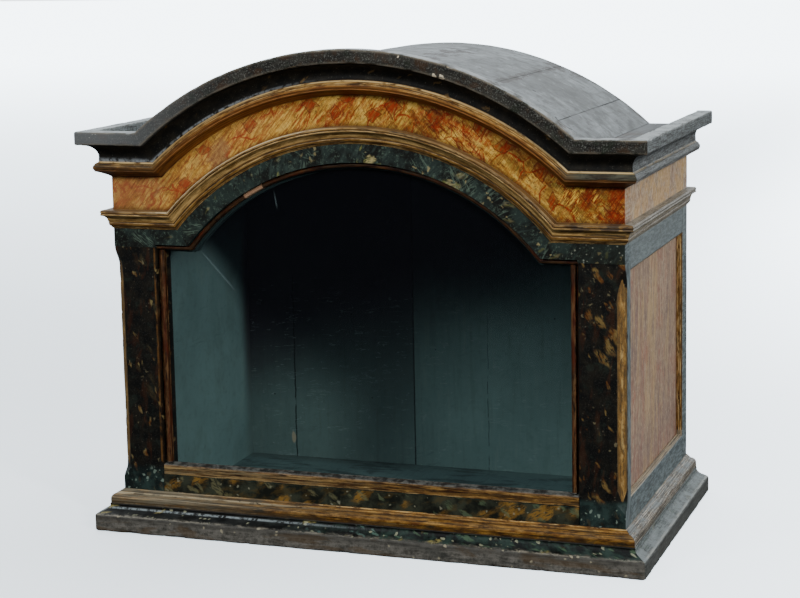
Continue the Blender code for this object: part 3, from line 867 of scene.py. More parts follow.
def bedPaint():
    paint, here, x, y, z = startPaint("bedMouldingGilding", 0.25)
    front = 1.0 - onSide(x, y)
    where, edge, crease, height = paint.onRun("edge", "crease", "height")
    foot = case["bedFoot"]
    colour, stripes, rubbed = gildedColour(paint, where, gildingLook, edge, crease, 11.0)
    brown = stripes.tones(0.4, 0.6, *bedLook["brown"])
    under = height.ease(foot + 18 * mm, foot + 13 * mm)
    colour.lay(under * 0.75, brown)
    for level, tone in ((13.4, (52, 26, 10)), (10.6, (176, 116, 56)), (7.6, (52, 26, 10))):
        fineLine = height.line(foot + level * mm, 0.9 * mm) * rubbed.ease(0.36, 0.48)
        colour.lay(fineLine * 0.7, tone)
    ends = x.size().ease(0.27, 0.34)
    grimy = stripes.tones(0.42, 0.6, *bedLook["grimy"])
    colour.lay(ends * rubbed.ease(0.34, 0.5) * 0.7, grimy)
    mouldy = rubbed.tones(0.38, 0.58, *bedLook["mouldy"])
    spoilt = x.ease(0.3, 0.35) * height.ease(foot + 12 * mm, foot + 15 * mm)
    colour.lay(spoilt * 0.9, mouldy)
    # a bright line along the torus's crest, broken where rubbed: worn leaf and painted highlight
    rim = height.line(foot + 23.2 * mm, 1.6 * mm) * rubbed.ease(0.36, 0.5)
    colour.lay(rim * 0.75, gildingLook["bright"])
    cove = height.ease(foot + 23.8 * mm, foot + 25.2 * mm)
    dark = where.noise(60, 5, 0.66).tones(0.4, 0.66, *bedLook["dark"])
    dark.lay(where.strokes(46, 0.26, 0.3, 5.0, 40) * 0.65, (118, 92, 50))
    dark.lay(here.grit(420, 0.62, 0.72) * 0.5, (120, 118, 108))
    broken = here.noise(120, 4, 0.7, 0, 3.0).ease(0.4, 0.56)
    # painted highlight on the black cove: a pale line low along it and a patch at the left end
    low = height.line(foot + 26.4 * mm, 3.0 * mm) * x.ease(-0.02, -0.2)
    end = height.ease(foot + 32 * mm, foot + 26 * mm) * x.ease(-0.3, -0.36)
    dark.lay(low.most(end) * broken * 0.75, (142, 148, 152))
    colour.lay(cove, dark)
    dustySides(colour, here, 0.8, (150, 156, 158))
    metal = 0.4 * (1.0 - cove) * (1.0 - spoilt) * stripes.ease(0.4, 0.6) * front
    rough = 0.38 + rubbed * 0.25 + cove * 0.08
    return paint.finish(colour, rough, metal, stripes * 0.7 + rubbed * 0.5, 0.5, 0.6 * mm)


coronaLook = {
    "ground": ((18, 17, 15), (62, 60, 54)),
    "chips": (((0.146, 0.7075, 0.0), 5.0), ((0.1355, 0.7105, 0.0), 3.6), ((0.083, 0.738, 0.0), 2.2)),
}


def coronaPaint():
    paint, here, x, y, z = startPaint("coronaPaint", 0.22)
    front = 1.0 - onSide(x, y)
    where, edge, chip = paint.onRun("edge", "chip")
    grain = where.grained((40, 330, 1), 5, 0.68)
    broad = where.grained((12, 60, 1), 4, 0.6, 0.3, 2.0)
    colour = paint.mix(grain.ease(0.36, 0.66) * 0.5 + broad.ease(0.4, 0.6) * 0.5, *coronaLook["ground"])
    speckle = here.grit(460, 0.53, 0.66)
    colour.lay(speckle * 0.65, (122, 124, 118))
    colour.lay(here.grit(300, 0.54, 0.66, 5.0) * 0.5, (16, 15, 13))
    mottle = here.noise(38, 5, 0.68, 0.4, 3.0)
    colour.lay(mottle.ease(0.5, 0.62) * 0.6, (66, 44, 24))
    colour.lay(mottle.ease(0.46, 0.36) * 0.45, (34, 44, 30))
    # painted reflection: the corona lighter towards its left end
    colour.lay(x.ease(-0.16, -0.44) * 0.55, (126, 130, 132))
    colour.lay(edge * mottle.ease(0.36, 0.54) * 0.6, (136, 128, 112))
    colour.lay(chip.ease(0.45, 0.85) * 0.8, (190, 170, 130))
    flat = paint.join(x, z, 0.0)
    for spot, wide in coronaLook["chips"]:
        away = flat.ragged(160, 0.008, 7.0).distanceTo(spot)
        colour.lay(away.ease(wide * mm, wide * 0.7 * mm) * front, (236, 222, 192))
    specks = here.dabs(210, 0.24, 0.2, 0.08)
    colour.lay(specks * x.ease(-0.34, -0.42) * 0.7, (206, 206, 200))
    dustySides(colour, here, 0.85, (150, 158, 160))
    up = paint.facingUp(0.55, 0.9)
    dust = up * here.noise(30, 5, 0.68, 0, 6.0).ease(0.34, 0.58)
    colour.lay(dust * 0.8, (168, 174, 176))
    rough = 0.45 + grain * 0.25
    return paint.finish(colour, rough, None, grain * 0.8 + speckle * 0.4, 0.6, 0.7 * mm)


plinthLook = {
    "slab": ((68, 67, 62), (124, 121, 114)),
    "tint": ((28, 29, 27), (44, 64, 57)),
    "streaks": ((100, 102, 98), (206, 204, 194)),
    "greyed": ((100, 104, 102), (124, 134, 134)),
}


def plinthPaint():
    paint, here, x, y, z = startPaint("plinthPaint", 0.22)
    side = onSide(x, y)
    front = 1.0 - side
    where, edge, crease, chip = paint.onRun("edge", "crease", "chip")
    gold, stripes, rubbed = gildedColour(paint, where, gildingLook, edge, crease, 21.0)
    dull = paint.mix(rubbed.ease(0.4, 0.6) * 0.6 + stripes.ease(0.42, 0.6) * 0.4, (40, 36, 30), (92, 78, 56))
    smeared = where.grained((16, 120, 1), 4, 0.68, 0.5, 24.0)
    dirty = x.ease(0.06, -0.3) * 0.85 + smeared.ease(0.5, 0.6) * 0.5
    beadGold = paint.mix(dirty * smeared.ease(0.36, 0.52), gold, dull)
    for level, amount in ((52.6, 0.6), (46.4, 0.5)):
        stripe = z.line(level * mm, 1.4 * mm) * rubbed.ease(0.38, 0.5)
        beadGold.lay(stripe * amount, (38, 26, 12))
    greenish = where.strokes(30, 0.34, 0.5, 27.0, 20) * x.ease(-0.42, -0.2)
    beadGold.lay(greenish * z.ease(52 * mm, 47 * mm) * 0.55, (42, 48, 36))
    faded = x.ease(-0.05, -0.34) * (0.12 + stripes.ease(0.46, 0.56) * 0.4)
    beadGold.lay(faded, (170, 160, 134))
    grain = where.grained((30, 200, 1), 5, 0.7)
    pitted = here.noise(130, 4, 0.72, 0, 2.0)
    slab = (grain * 0.5 + pitted * 0.5).tones(0.38, 0.62, *plinthLook["slab"])
    slab.lay(here.grit(380, 0.58, 0.7, 4.0) * 0.5, (26, 24, 22))
    drift = where.grained((9, 40, 1), 4, 0.66, 0.6, 14.0)
    slab.lay(drift.ease(0.52, 0.62) * 0.55, (88, 70, 46))
    slab.lay(drift.ease(0.46, 0.36) * x.ease(-0.1, 0.2) * 0.6, (44, 48, 46))
    slab.lay((z + (pitted - 0.5) * 0.02).ease(16 * mm, 26 * mm) * 0.5, (40, 41, 38))
    specks = where.ragged(80, 0.008, 5.0).dabs(110, 0.26, 0.22, 0.08)
    slab.lay(specks * 0.65, (186, 178, 150))
    # a pale line along the slab's top arris: worn edge and painted highlight
    arris = z.line(27.0 * mm, 1.6 * mm) * rubbed.ease(0.4, 0.55) * grain.ease(0.4, 0.55)
    slab.lay(arris * 0.5, (170, 164, 148))
    tint = x.tones(-0.2, 0.1, *plinthLook["tint"])
    cove = where.noise(40, 5, 0.66).tones(0.42, 0.62, (9, 11, 11), tint)
    teal = where.strokes(58, 0.36, 0.6, 12.0, -24) * x.ease(-0.16, 0.02)
    cove.lay(teal * 0.6, x.tones(-0.05, 0.1, (112, 146, 142), (84, 112, 84)))
    cove.lay(where.strokes(34, 0.32, 0.5, 7.0, 26) * 0.75, (168, 156, 92))
    small = where.ragged(120, 0.01, 8.0).dabs(130, 0.28, 0.3, 0.1)
    cove.lay(small * 0.6, (178, 180, 150))
    colour = (z + (pitted - 0.5) * 0.012).tones(26.4 * mm, 29.2 * mm, slab, cove)
    colour.lay(z.ease(40.2 * mm, 41.6 * mm), beadGold)
    # painted shade: a dark line under the bead
    colour.lay(z.line(40.2 * mm, 2.2 * mm) * front * 0.85, (12, 12, 11))
    # dark patches on the bead's lower half: dirt and painted shade
    under = z.ease(48.5 * mm, 43 * mm) * z.ease(40 * mm, 41 * mm) * front
    colour.lay(under * rubbed.ease(0.36, 0.56) * 0.6, (42, 32, 20))
    # painted highlight: a pale bluish line along the cove, towards the left
    ledge = z.line(34.8 * mm, 2.0 * mm) * x.ease(0.06, -0.2) * pitted.ease(0.4, 0.54)
    colour.lay(ledge * 0.75, (156, 168, 172))
    # painted highlight along the top of the bead at the left end
    crown = z.line(56.6 * mm, 1.5 * mm) * x.ease(0.0, -0.2) * rubbed.ease(0.4, 0.52)
    colour.lay(crown * 0.7, (196, 180, 146))
    colour.lay(chip.ease(0.5, 0.9) * 0.6, (156, 138, 110))
    streaks = stripes.tones(0.45, 0.56, *plinthLook["streaks"])
    greyed = z.tones(28 * mm, 29 * mm, *plinthLook["greyed"])
    greyed.lay(z.ease(40 * mm, 42 * mm), streaks)
    dustySides(colour, here, 0.86, greyed)
    # a pale line along the side slab's top arris: worn edge and painted highlight
    sideArris = z.line(27.0 * mm, 1.3 * mm) * side * grain.ease(0.38, 0.5)
    colour.lay(sideArris * 0.6, (184, 186, 178))
    # painted shadow: a dark line at the foot of the side bead
    sideFootShadow = z.line(41.2 * mm, 1.6 * mm) * side * rubbed.ease(0.34, 0.5)
    colour.lay(sideFootShadow * 0.6, (48, 48, 43))
    up = paint.facingUp(0.5, 0.9)
    dust = up * here.noise(30, 5, 0.68, 0, 6.0).ease(0.36, 0.62)
    dust = dust * (0.06 + side * 0.75)
    colour.lay(dust, (132, 140, 142))
    gilt = z.ease(40 * mm, 42 * mm)
    metal = 0.4 * gilt * stripes.ease(0.4, 0.6) * front
    rough = 0.4 + rubbed * 0.25
    return paint.finish(colour, rough, metal, stripes * 0.5 + rubbed * 0.5 + pitted * 0.8, 0.55, 0.7 * mm)


postLook = {"dark": ((10, 11, 11), (30, 27, 21)), "teal": ((18, 27, 27), (46, 64, 61))}


def postPaint():
    paint, here, x, y, z = startPaint("postPaint", 0.2)
    where = paint.onRun()[0]
    flat = paint.join(x, z, y)
    dark = here.noise(50, 5, 0.66).tones(0.4, 0.64, *postLook["dark"])
    teal = here.noise(44, 5, 0.66, 0, 2.0).tones(0.4, 0.64, *postLook["teal"])
    foot = z.ease(0.104, 0.094)
    dark.lay(foot, teal)
    rightward = x.ease(-0.2, 0.2)
    big = flat.strokes(29, 0.29, 0.55, 3.0, -58) * (0.12 + rightward * 0.88) * (1.0 - foot)
    mid = flat.strokes(58, 0.27, 0.42, 9.0, -72) * (1.0 - foot * 0.8)
    loose = flat.ragged(60, 0.02, 9.0).ragged(260, 0.008, 8.0)
    small = loose.dabs(130, 0.24, 0.08, 0.12)
    pale = paint.mix(rightward, (156, 140, 92), (140, 116, 66))
    tone = here.noise(60, 3, 0.6, 0, 7.0).tones(0.4, 0.6, (112, 68, 26), pale)
    colour = paint.mix(big * 0.72, dark, tone)
    colour.lay(mid * 0.62, tone)
    colour.lay(small * 0.42, (150, 140, 106))
    specks = flat.ragged(300, 0.004, 15.0).dabs(240, 0.22, 0.12, 0.1)
    colour.lay(specks * 0.2, (160, 152, 130))
    colour.lay(here.grit(520, 0.53, 0.66, 41.0) * 0.28, (68, 70, 64))
    flakes = flat.ragged(120, 0.01, 18.0).dabs(150, 0.3, 0.32, 0.1) * foot
    colour.lay(flakes * 0.6, (148, 168, 154))
    green = here.noise(46, 4, 0.66, 0.4, 25.0).ease(0.54, 0.64)
    colour.lay(green * 0.3, (44, 56, 48))
    rusty = flat.brushed(14, 60, 84, 4, 0.66, 0.4, 17.0).ease(0.53, 0.63)
    colour.lay(rusty * z.ease(0.1, 0.12) * 0.16, (98, 50, 20))
    gold, stripes, rubbed = gildedColour(paint, where, gildingLook, paint.attribute("edge"), 0.0, 31.0)
    mottle = where.grained((34, 90, 1), 5, 0.68, 0.6, 33.0)
    fleck = where.grained((170, 260, 1), 3, 0.66, 0.3, 35.0)
    gold.lay(mottle.ease(0.46, 0.36) * 0.65, (224, 182, 106))
    gold.lay(mottle.ease(0.54, 0.62) * 0.55, (56, 36, 16))
    gold.lay(fleck.ease(0.54, 0.62) * mottle.ease(0.4, 0.52) * 0.6, (34, 22, 11))
    # painted shade at the chamfer's edges and painted highlight along its middle, so the flat chamfer looks
    # rounded
    middle = paint.attribute("middle")
    gold.lay(middle.ease(0.55, 0.15) * 0.75, (58, 34, 14))
    gold.lay(middle.ease(0.6, 0.95) * mottle.ease(0.54, 0.44) * 0.5, (232, 196, 128))
    gold.lay(0.14, (186, 166, 122))
    gilt = (paint.attribute("gilt") + rubbed * 0.4 - 0.2).ease(0.4, 0.5)
    colour.lay(gilt, gold)
    # painted highlight along the left post's inner arris
    inner = x.size().line(0.333, 0.0022) * rubbed.ease(0.38, 0.52) * x.ease(0.0, -0.1) * z.ease(0.104, 0.11)
    colour.lay(inner * 0.6, (116, 78, 34))
    side = x.size().ease(0.3992, 0.3997)
    colour.lay(side, hazeColour(paint, paint.join(z, y, x)))
    metal = 0.4 * gilt * stripes.ease(0.4, 0.6)
    rough = 0.4 + rubbed * 0.22
    return paint.finish(colour, rough, metal, rubbed * 0.6 + big * 0.35 + small * 0.3, 0.45, 0.5 * mm)


beadLook = {
    **gildingLook, "bright": (176, 140, 96),
    "gold": ((0.4, (15, 9, 6)), (0.47, (42, 22, 10)), (0.53, (70, 38, 17)),
             (0.59, (104, 66, 30)), (0.66, (150, 112, 64))),
    "fresh": ((170, 128, 98), (210, 172, 138)),
    "dusty": ((40, 44, 44), (104, 108, 104)),
    # a repair on the head: its angle from the crown and half its width in degrees
    "repair": (-28.4, 2.9),
}


def beadPaint():
    paint, here, x, y, z = startPaint("glazingBeadGilding", 0.25)
    where, edge, crease = paint.onRun("edge", "crease")
    colour, stripes, rubbed = gildedColour(paint, where, beadLook, edge, crease, 41.0)
    bole = where.grained((14, 200, 1), 4, 0.66, 0.4, 49.0).ease(0.48, 0.6)
    colour.lay(bole * z.ease(0.11, 0.15) * 0.55, (92, 38, 18))
    lean = x.angle(z - arch["centre"]) + (rubbed - 0.5) * 0.01
    head = z.ease(0.4, 0.41)
    middle, wide = beadLook["repair"]
    patch = (lean + math.radians(-middle)).size().ease(math.radians(wide), math.radians(wide - 0.3)) * head
    colour.lay(head * rubbed.ease(0.6, 0.42) * 0.7, (22, 13, 10))
    colour.lay(patch * 0.95, stripes.tones(0.4, 0.6, *beadLook["fresh"]))
    sill = z.ease(0.1095, 0.1075)
    top = z.ease(0.1025, 0.1045) * sill
    dusty = here.noise(90, 4, 0.66, 0, 4.0).tones(0.4, 0.6, *beadLook["dusty"])
    colour.lay(top * 0.85, dusty)
    front = z.ease(0.1035, 0.1015) * sill
    bright = gildedColour(paint, where, gildingLook, edge, crease, 45.0)[0]
    bright.lay(x.ease(0.1, -0.2) * 0.3 + 0.1, (178, 164, 126))
    worn = where.grained((18, 420, 1), 4, 0.68, 0.4, 47.0)
    colour.lay(front * worn.ease(0.6, 0.49) * 0.9, bright)
    colour.lay(z.line(95.5 * mm, 2.4 * mm) * rubbed.ease(0.34, 0.5) * 0.5, (34, 26, 16))
    metal = 0.35 * stripes.ease(0.4, 0.6) * (1.0 - top)
    rough = 0.36 + rubbed * 0.28
    return paint.finish(colour, rough, metal, stripes * 0.6 + rubbed * 0.5, 0.45, 0.5 * mm)


railLook = {
    "ground": ((22, 25, 20), (56, 60, 48)),
    "big": ((106, 78, 34), (150, 112, 48)),
    "mid": ((122, 118, 84), (94, 112, 84)),
}


def railPaint():
    paint, here, x, y, z = startPaint("bottomRailPaint", 0.2)
    where = paint.join(x, z, y)
    cloud = where.noise(36, 5, 0.66)
    colour = cloud.tones(0.4, 0.62, *railLook["ground"])
    scumble = where.brushed(26, 70, 18, 4, 0.66, 0.5, 8.0).ease(0.5, 0.62)
    colour.lay(scumble * 0.32, (94, 76, 38))
    big = where.strokes(23, 0.4, 0.8, 3.0, 28)
    mid = where.strokes(40, 0.36, 0.6, 6.0, -34)
    small = where.ragged(120, 0.01, 8.0).dabs(150, 0.28, 0.2, 0.1)
    colour.lay(big * 0.8, cloud.tones(0.44, 0.56, *railLook["big"]))
    colour.lay(mid * 0.55, x.tones(-0.1, 0.1, *railLook["mid"]))
    colour.lay(small * 0.5, (160, 160, 136))
    fine = where.noise(160, 4, 0.6)
    behind = y.ease(case["front"] + 2 * mm, case["front"] + 3 * mm)
    colour.lay(behind, (52, 72, 72))
    return paint.finish(colour, 0.4 + fine * 0.22, None, fine + big * 0.4, 0.45, 0.5 * mm)


sideLook = {"dusty": ((98, 92, 80), (176, 166, 144))}


def sidePaint():
    # stiles and rails of the sides, with their gilded reeds
    paint, here, x, y, z = startPaint("sidePaint", 0.35)
    where = paint.join(y, z, x)
    haze = hazeColour(paint, where)
    # painted light: the top rail lighter, against the shadow under the mouldings
    haze.lay(z.ease(0.38, 0.43) * 0.3, (150, 158, 158))
    frieze, fine, clouds = friezeColour(paint, where, friezeLook, 0.45, 0.0)
    frieze = sideFrieze(paint, frieze, fine, clouds)
    upper = z.ease(case["architraveTop"] - 16 * mm, case["architraveTop"] - 14 * mm)
    colour = paint.mix(upper, haze, frieze)
    gilt = paint.attribute("gilt")
    gold, stripes, rubbed = gildedColour(paint, paint.onRun()[0], gildingLook,
                                         paint.attribute("edge"), paint.attribute("crease"), 51.0)
    dusty = stripes.tones(0.42, 0.58, *sideLook["dusty"])
    level = (y < 0.19).most(z < 0.11)
    gold.lay(level * 0.75, dusty)
    colour.lay(gilt, gold)
    metal = 0.35 * gilt * stripes.ease(0.4, 0.6)
    return paint.finish(colour, 0.42 + fine * 0.25, metal, fine, 0.4, 0.5 * mm)


panelLook = {
    "ground": ((0.36, (116, 92, 88)), (0.44, (156, 130, 114)), (0.51, (180, 154, 128)),
               (0.57, (198, 176, 146)), (0.66, (208, 188, 160))),
}


def panelPaint():
    # marbled panel outside; the planks' inner faces belong to the case's inside
    paint, here, x, y, z = startPaint("sidePanelPaint", 0.35)
    where = paint.join(y, z, x)
    tall = where.brushed(9, 120, 86, 5, 0.66, 0.4)
    fine = where.brushed(60, 420, 84, 3, 0.65, 0.2, 4.0)
    clouds = where.noise(14, 4, 0.65, 0.6, 6.0)
    colour = paint.ramp(tall * 0.5 + clouds * 0.5, panelLook["ground"])
    grain = where.brushed(30, 900, 88, 4, 0.72, 0.0, 7.0)
    colour.lay(fine.ease(0.54, 0.64) * 0.55, (198, 176, 140))
    colour.lay(fine.ease(0.47, 0.38) * 0.75, (86, 60, 52))
    colour.lay(grain.ease(0.52, 0.64) * 0.6, (92, 70, 62))
    streak = where.scratches(84, 2.0, 0.04, 0.6) * clouds.ease(0.42, 0.54)
    colour.lay(streak * 0.75, (160, 60, 26))
    counter = where.scratches(104, 5.0, 0.035, 0.9) * clouds.ease(0.58, 0.46)
    colour.lay(counter * 0.6, (196, 170, 124))
    cooler = where.brushed(8, 24, 86, 4, 0.6, 0.5, 9.0)
    violet = (cooler.ease(0.5, 0.62) * 0.8).most(y.ease(-0.1, -0.165)).most(z.ease(0.22, 0.13) * 0.55)
    colour.lay(violet * (0.3 + grain * 0.5), (104, 84, 90))
    warm = (cooler - (y - 0.02).size() * 1.3).ease(0.36, 0.5) * tall.ease(0.42, 0.54)
    colour.lay(warm * 0.55, (210, 176, 112))
    threads = where.brushed(16, 520, 87, 3, 0.66, 0.2, 15.0)
    colour.lay(threads.ease(0.55, 0.62) * 0.6, (96, 62, 54))
    colour.lay(threads.ease(0.44, 0.37) * 0.45, (222, 202, 166))
    rust = where.brushed(8, 40, 84, 4, 0.65, 0.5, 12.0).ease(0.54, 0.66)
    colour.lay(rust * 0.4, (150, 76, 44))
    colour.lay(0.14, (204, 176, 168))
    grime = here.noise(120, 4, 0.72, 0.3, 27.0)
    colour.lay(grime.ease(0.53, 0.64) * 0.35, (98, 72, 66))
    colour.lay(grime.ease(0.46, 0.36) * 0.35, (226, 202, 172))
    inward = x.size().ease(0.3845, 0.384)
    colour.lay(inward, insideColour(paint, here))
    rough = 0.46 + tall * 0.15 + inward * 0.2
    return paint.finish(colour, rough, None, tall + fine * 0.8, 0.4, 0.5 * mm)


woodLook = {"ground": ((0.3, (70, 52, 38)), (0.5, (104, 82, 62)), (0.7, (128, 106, 84)))}
insideLook = {
    "ground": ((102, 137, 138), (118, 155, 155)),
    "paintedShadow": (30, 22, 32), "crack": 0.068, "split": -0.282, "joint": -0.063,
    "chip": (-0.288, 0.0215, 0.0), "nailRows": (0.12, 0.42), "nailGap": 0.105,
}


def insideColour(paint, here):
    cloudy = here.noise(5, 4, 0.6, 0.4, 1.0)
    fine = here.noise(90, 4, 0.6, 0, 2.0)
    x, y, z = here.split()
    colour = cloudy.tones(0.35, 0.65, *insideLook["ground"])
    colour.lay(fine.ease(0.5, 0.75) * 0.3, (72, 94, 95))
    streak = here.grained((130, 12, 9), 5, 0.72, 0.4, 7.0)
    colour.lay(streak.ease(0.5, 0.66) * 0.24, (78, 98, 92))
    colour.lay(streak.ease(0.46, 0.36) * 0.14, (142, 168, 158))
    # painted shadow: the back and everything high up darkened, where the head shades the inside
    rise = z - x.least(0.32) * 0.4 + (cloudy - 0.5) * 0.12
    atBack = y.ease(case["back"] - 60 * mm, case["back"] - 20 * mm)
    high = rise.ease(0.2, 0.4) * atBack
    higher = (z + cloudy * 0.06).ease(0.38, 0.5)
    colour.lay(atBack * 0.25, (112, 138, 124))
    # painted shade: the lower left of the back darker
    colour.lay(atBack * x.ease(0.05, -0.22) * 0.45, (56, 66, 66))
    # painted shade: a darker pool on the back, left of the joint
    shadePool = x.ease(-0.27, -0.09) * (x < insideLook["joint"]) * atBack * z.ease(-0.06, 0.24)
    colour.lay(shadePool * 0.6, (32, 34, 38))
    return paint.mix(high.most(higher) * 0.93, colour, insideLook["paintedShadow"])


def insidePaint():
    paint, here, x, y, z = startPaint("insidePaint", 0.15)
    colour = insideColour(paint, here)
    grain = here.grained((60, 3, 3), 4, 0.6)
    broken = here.noise(40, 3, 0.7, 0, 5.0)
    wander = (here.noise(9, 5, 0.66) - 0.5) * 0.012
    crack = (x + wander).line(insideLook["crack"], 0.0012) * z.ease(0.34, 0.16) * broken.ease(0.4, 0.5)
    split = (x + wander).line(insideLook["split"], 0.0018) * z.ease(0.36, 0.3) * broken.ease(0.3, 0.44)
    joint = (x + wander * 0.1).line(insideLook["joint"], 0.0016)
    colour.lay((crack * 0.55).most(split * 0.85).most(joint * 0.9), (8, 10, 11))
    chip = paint.join(x, z * 0.45, 0.0).ragged(120, 0.006, 3.0).distanceTo(insideLook["chip"])
    colour.lay(chip.ease(5 * mm, 3 * mm) * 0.7, (176, 168, 140))
    worm = here.dabs(34, 0.05, 0.3, 0.015)
    colour.lay(worm * 0.9, (6, 6, 6))
    scrape = paint.join(x, z, y).scratches(4, 6.0, 0.012, 0.5) * broken.ease(0.5, 0.56)
    colour.lay(scrape * z.ease(0.36, 0.24) * 0.3, (150, 176, 176))
    wood = paint.ramp(here.grained((40, 3, 3), 5, 0.6, 0.6), woodLook["ground"])
    stain = here.grained((7, 2, 3), 4, 0.66, 0.5, 9.0)
    wood.lay(stain.ease(0.5, 0.66) * 0.6, (58, 44, 34))
    low, high = insideLook["nailRows"]
    rows = (z - low).size().least((z - high).size())
    step = ((x + 2.0) / insideLook["nailGap"]).fraction()
    nail = paint.join((step - 0.5) * insideLook["nailGap"], rows, 0.0)
    nails = nail.distanceTo((0.0, 0.0, 0.0)).ease(3.2 * mm, 2.2 * mm)
    wood.lay(nails * 0.85, (30, 24, 22))
    outside = y.ease(case["back"] - 3 * mm, case["back"] - 2 * mm)
    colour.lay(outside, wood)
    return paint.finish(colour, 0.75, None, grain - split, 0.3, 0.5 * mm)


def barePaint():
    paint, here, x, y, z = startPaint("bareWood", 0.3)
    grain = here.grained((3, 60, 30), 5, 0.6, 0.6)
    wood = paint.ramp(grain, woodLook["ground"])
    floor = z.ease(12 * mm, 13.5 * mm)
    teal = paint.mix(0.35, insideColour(paint, here), (30, 36, 34))
    smudge = here.grained((12, 40, 1), 4, 0.68, 0.5, 3.0).ease(0.5, 0.6)
    teal.lay(smudge * 0.5, (34, 38, 36))
    colour = paint.mix(floor, wood, teal)
    return paint.finish(colour, 0.7, None, grain, 0.4, 0.5 * mm)


roofLook = {
    "ground": ((98, 102, 103), (132, 138, 141)),
    # joints that show, as distances round the vault from its crown, and how dark they are
    "radius": 0.508, "joints": ((0.0709, 0.35), (0.1995, 0.75), (0.3103, 0.2)),
    "curl": (0.297, 0.062, 0.0), "hole": (0.232, 0.135, 0.0),
}


def roofPaint():
    paint, here, x, y, z = startPaint("roofPaint", 0.5)
    along = x.angle(z - arch["centre"]) * roofLook["radius"]
    back = y - case["front"]
    where = paint.join(along, y, 0.0)
    grain = where.grained((150, 9, 1), 5, 0.65, 0.4)
    cloudy = where.noise(6, 4, 0.6, 0.3)
    mottle = where.noise(42, 5, 0.7, 0.4, 2.0)
    colour = cloudy.tones(0.35, 0.65, *roofLook["ground"])
    colour.lay(mottle.ease(0.48, 0.6) * 0.6, (70, 72, 71))
    colour.lay(mottle.ease(0.46, 0.36) * 0.4, (160, 168, 170))
    colour.lay(grain.ease(0.5, 0.7) * 0.35, (84, 84, 82))
    torn = where.noise(26, 5, 0.74, 0.6, 4.0)
    shreds = where.grained((60, 26, 1), 5, 0.74, 0.5, 5.0)
    crown = (along - 0.072).size().ease(0.04, 0.012) * back.ease(0.05, 0.1) * back.ease(0.36, 0.28)
    rear = (along - 0.203).size().ease(0.05, 0.02) * back.ease(0.36, 0.4)
    seam = (along - 0.1995).size().ease(0.012, 0.004)
    rim = back.ease(0.415, 0.43)
    places = (crown * 0.13).most(rear * 0.14).most(seam * 0.14).most(rim * 0.15)
    scraped = (shreds * 0.5 + torn * 0.5 + places).ease(0.6, 0.64)
    colour.lay(scraped * 0.75, (60, 54, 50))
    specks = where.noise(160, 3, 0.6, 0, 3.0).ease(0.6, 0.68)
    colour.lay(specks * 0.6, (52, 48, 44))
    for joint, depth in roofLook["joints"]:
        seamLine = (along.size() + (torn - 0.5) * 0.006).line(joint, 0.0015) * shreds.ease(0.38, 0.5)
        colour.lay(seamLine * depth, (44, 42, 40))
    wander = (where.noise(30, 4, 0.7, 0, 6.0) - 0.5) * 0.01
    crack = (along + wander * 0.5).line(0.3103, 0.0014) * back.ease(0.27, 0.3)
    bent = paint.join(x + wander, back, 0.0).distanceTo(roofLook["curl"])
    curl = bent.line(0.012, 0.002) * (back < 0.06)
    hole = paint.join(x, back, 0.0).distanceTo(roofLook["hole"]).ease(3.4 * mm, 2.4 * mm)
    colour.lay(crack.most(curl).most(hole) * 0.9, (14, 13, 12))
    height = mottle * 0.6 + grain * 0.4 - scraped * 0.5 - hole
    return paint.finish(colour, 0.55 + cloudy * 0.15, None, height, 0.45, 0.7 * mm)


shoulderLook = {"ground": ((58, 60, 60), (98, 102, 104))}


def shoulderPaint():
    paint, here, x, y, z = startPaint("shoulderPaint", 0.4)
    grain = here.grained((120, 6, 30), 5, 0.66, 0.3)
    cloud = here.noise(14, 4, 0.65, 0.4, 2.0)
    colour = grain.tones(0.38, 0.62, *shoulderLook["ground"])
    colour.lay(cloud.ease(0.52, 0.68) * 0.5, (70, 56, 44))
    return paint.finish(colour, 0.55 + grain * 0.2, None, grain, 0.5, 0.6 * mm)


glassLook = {
    # scratches: from where to where, across and up
    "ground": ((36, 38, 46), (150, 172, 176)),
    "scratches": ((-0.265, 0.444, -0.204, 0.378), (-0.139, 0.54, -0.133, 0.505)),
}


def glassPaint():
    paint = Paint("windowGlass", Alpha=0.1, Roughness=0.03, IOR=1.52)
    x, y, z = paint.here().split()
    marks = None
    for startX, startZ, endX, endZ in glassLook["scratches"]:
        length = math.hypot(endX - startX, endZ - startZ)
        alongX, alongZ = (endX - startX) / length, (endZ - startZ) / length
        along = (x - startX) * alongX + (z - startZ) * alongZ
        away = ((x - startX) * alongZ - (z - startZ) * alongX).size()
        mark = away.ease(0.6 * mm, 0.1 * mm) * along.ease(0.0, 0.02) * along.ease(length, length - 0.01)
        marks = mark if marks is None else marks.most(mark)
    flat = paint.join(x, z, 0.0)
    fine = flat.scratches(24, 3.0, 0.01, 0.3) * flat.noise(9, 3, 0.6).ease(0.5, 0.62)
    colour = paint.mix(marks, *glassLook["ground"])
    paint.tree.links.new((0.1 + marks * 0.24 + fine * 0.05).socket, paint.shader.inputs["Alpha"])
    return paint.finish(colour)


def onWall(point):
    return point[0] <= gap + 0.01 * mm


def scaledPoints(points):
    return [(out * mm, height * mm) for out, height in points]


# profiles in mm from the wall and the floor; wear is dips, chips, the chips' scale and a seed
plinth = {
    "reach": 33.3, "foot": 3.2, "slab": 23.7, "slabRound": 4.2, "cove": (17, 11), "ledge": 40,
    "bead": 8.1, "top": 62, "wear": (0.7, 2.2, 46, 3), "corner": 6, "cornerHeight": 32,
}
architrave = {
    "foot": 473, "ovolo": (8.2, 10.3), "cove": (8.6, 9.2), "reach": 15, "fillet": 494, "top": 502,
    "wear": (0.4, 1.2, 70, 5),
}
bed = {"foot": 552.5, "torus": 8.3, "cove": 18.6, "reach": 32.5, "top": 603, "wear": (0.4, 1.2, 60, 8)}
corona = {
    "back": 15, "reach": 37.5, "round": 2.5, "low": 603.3, "top": 624.5, "wear": (0.7, 2.6, 52, 11),
}


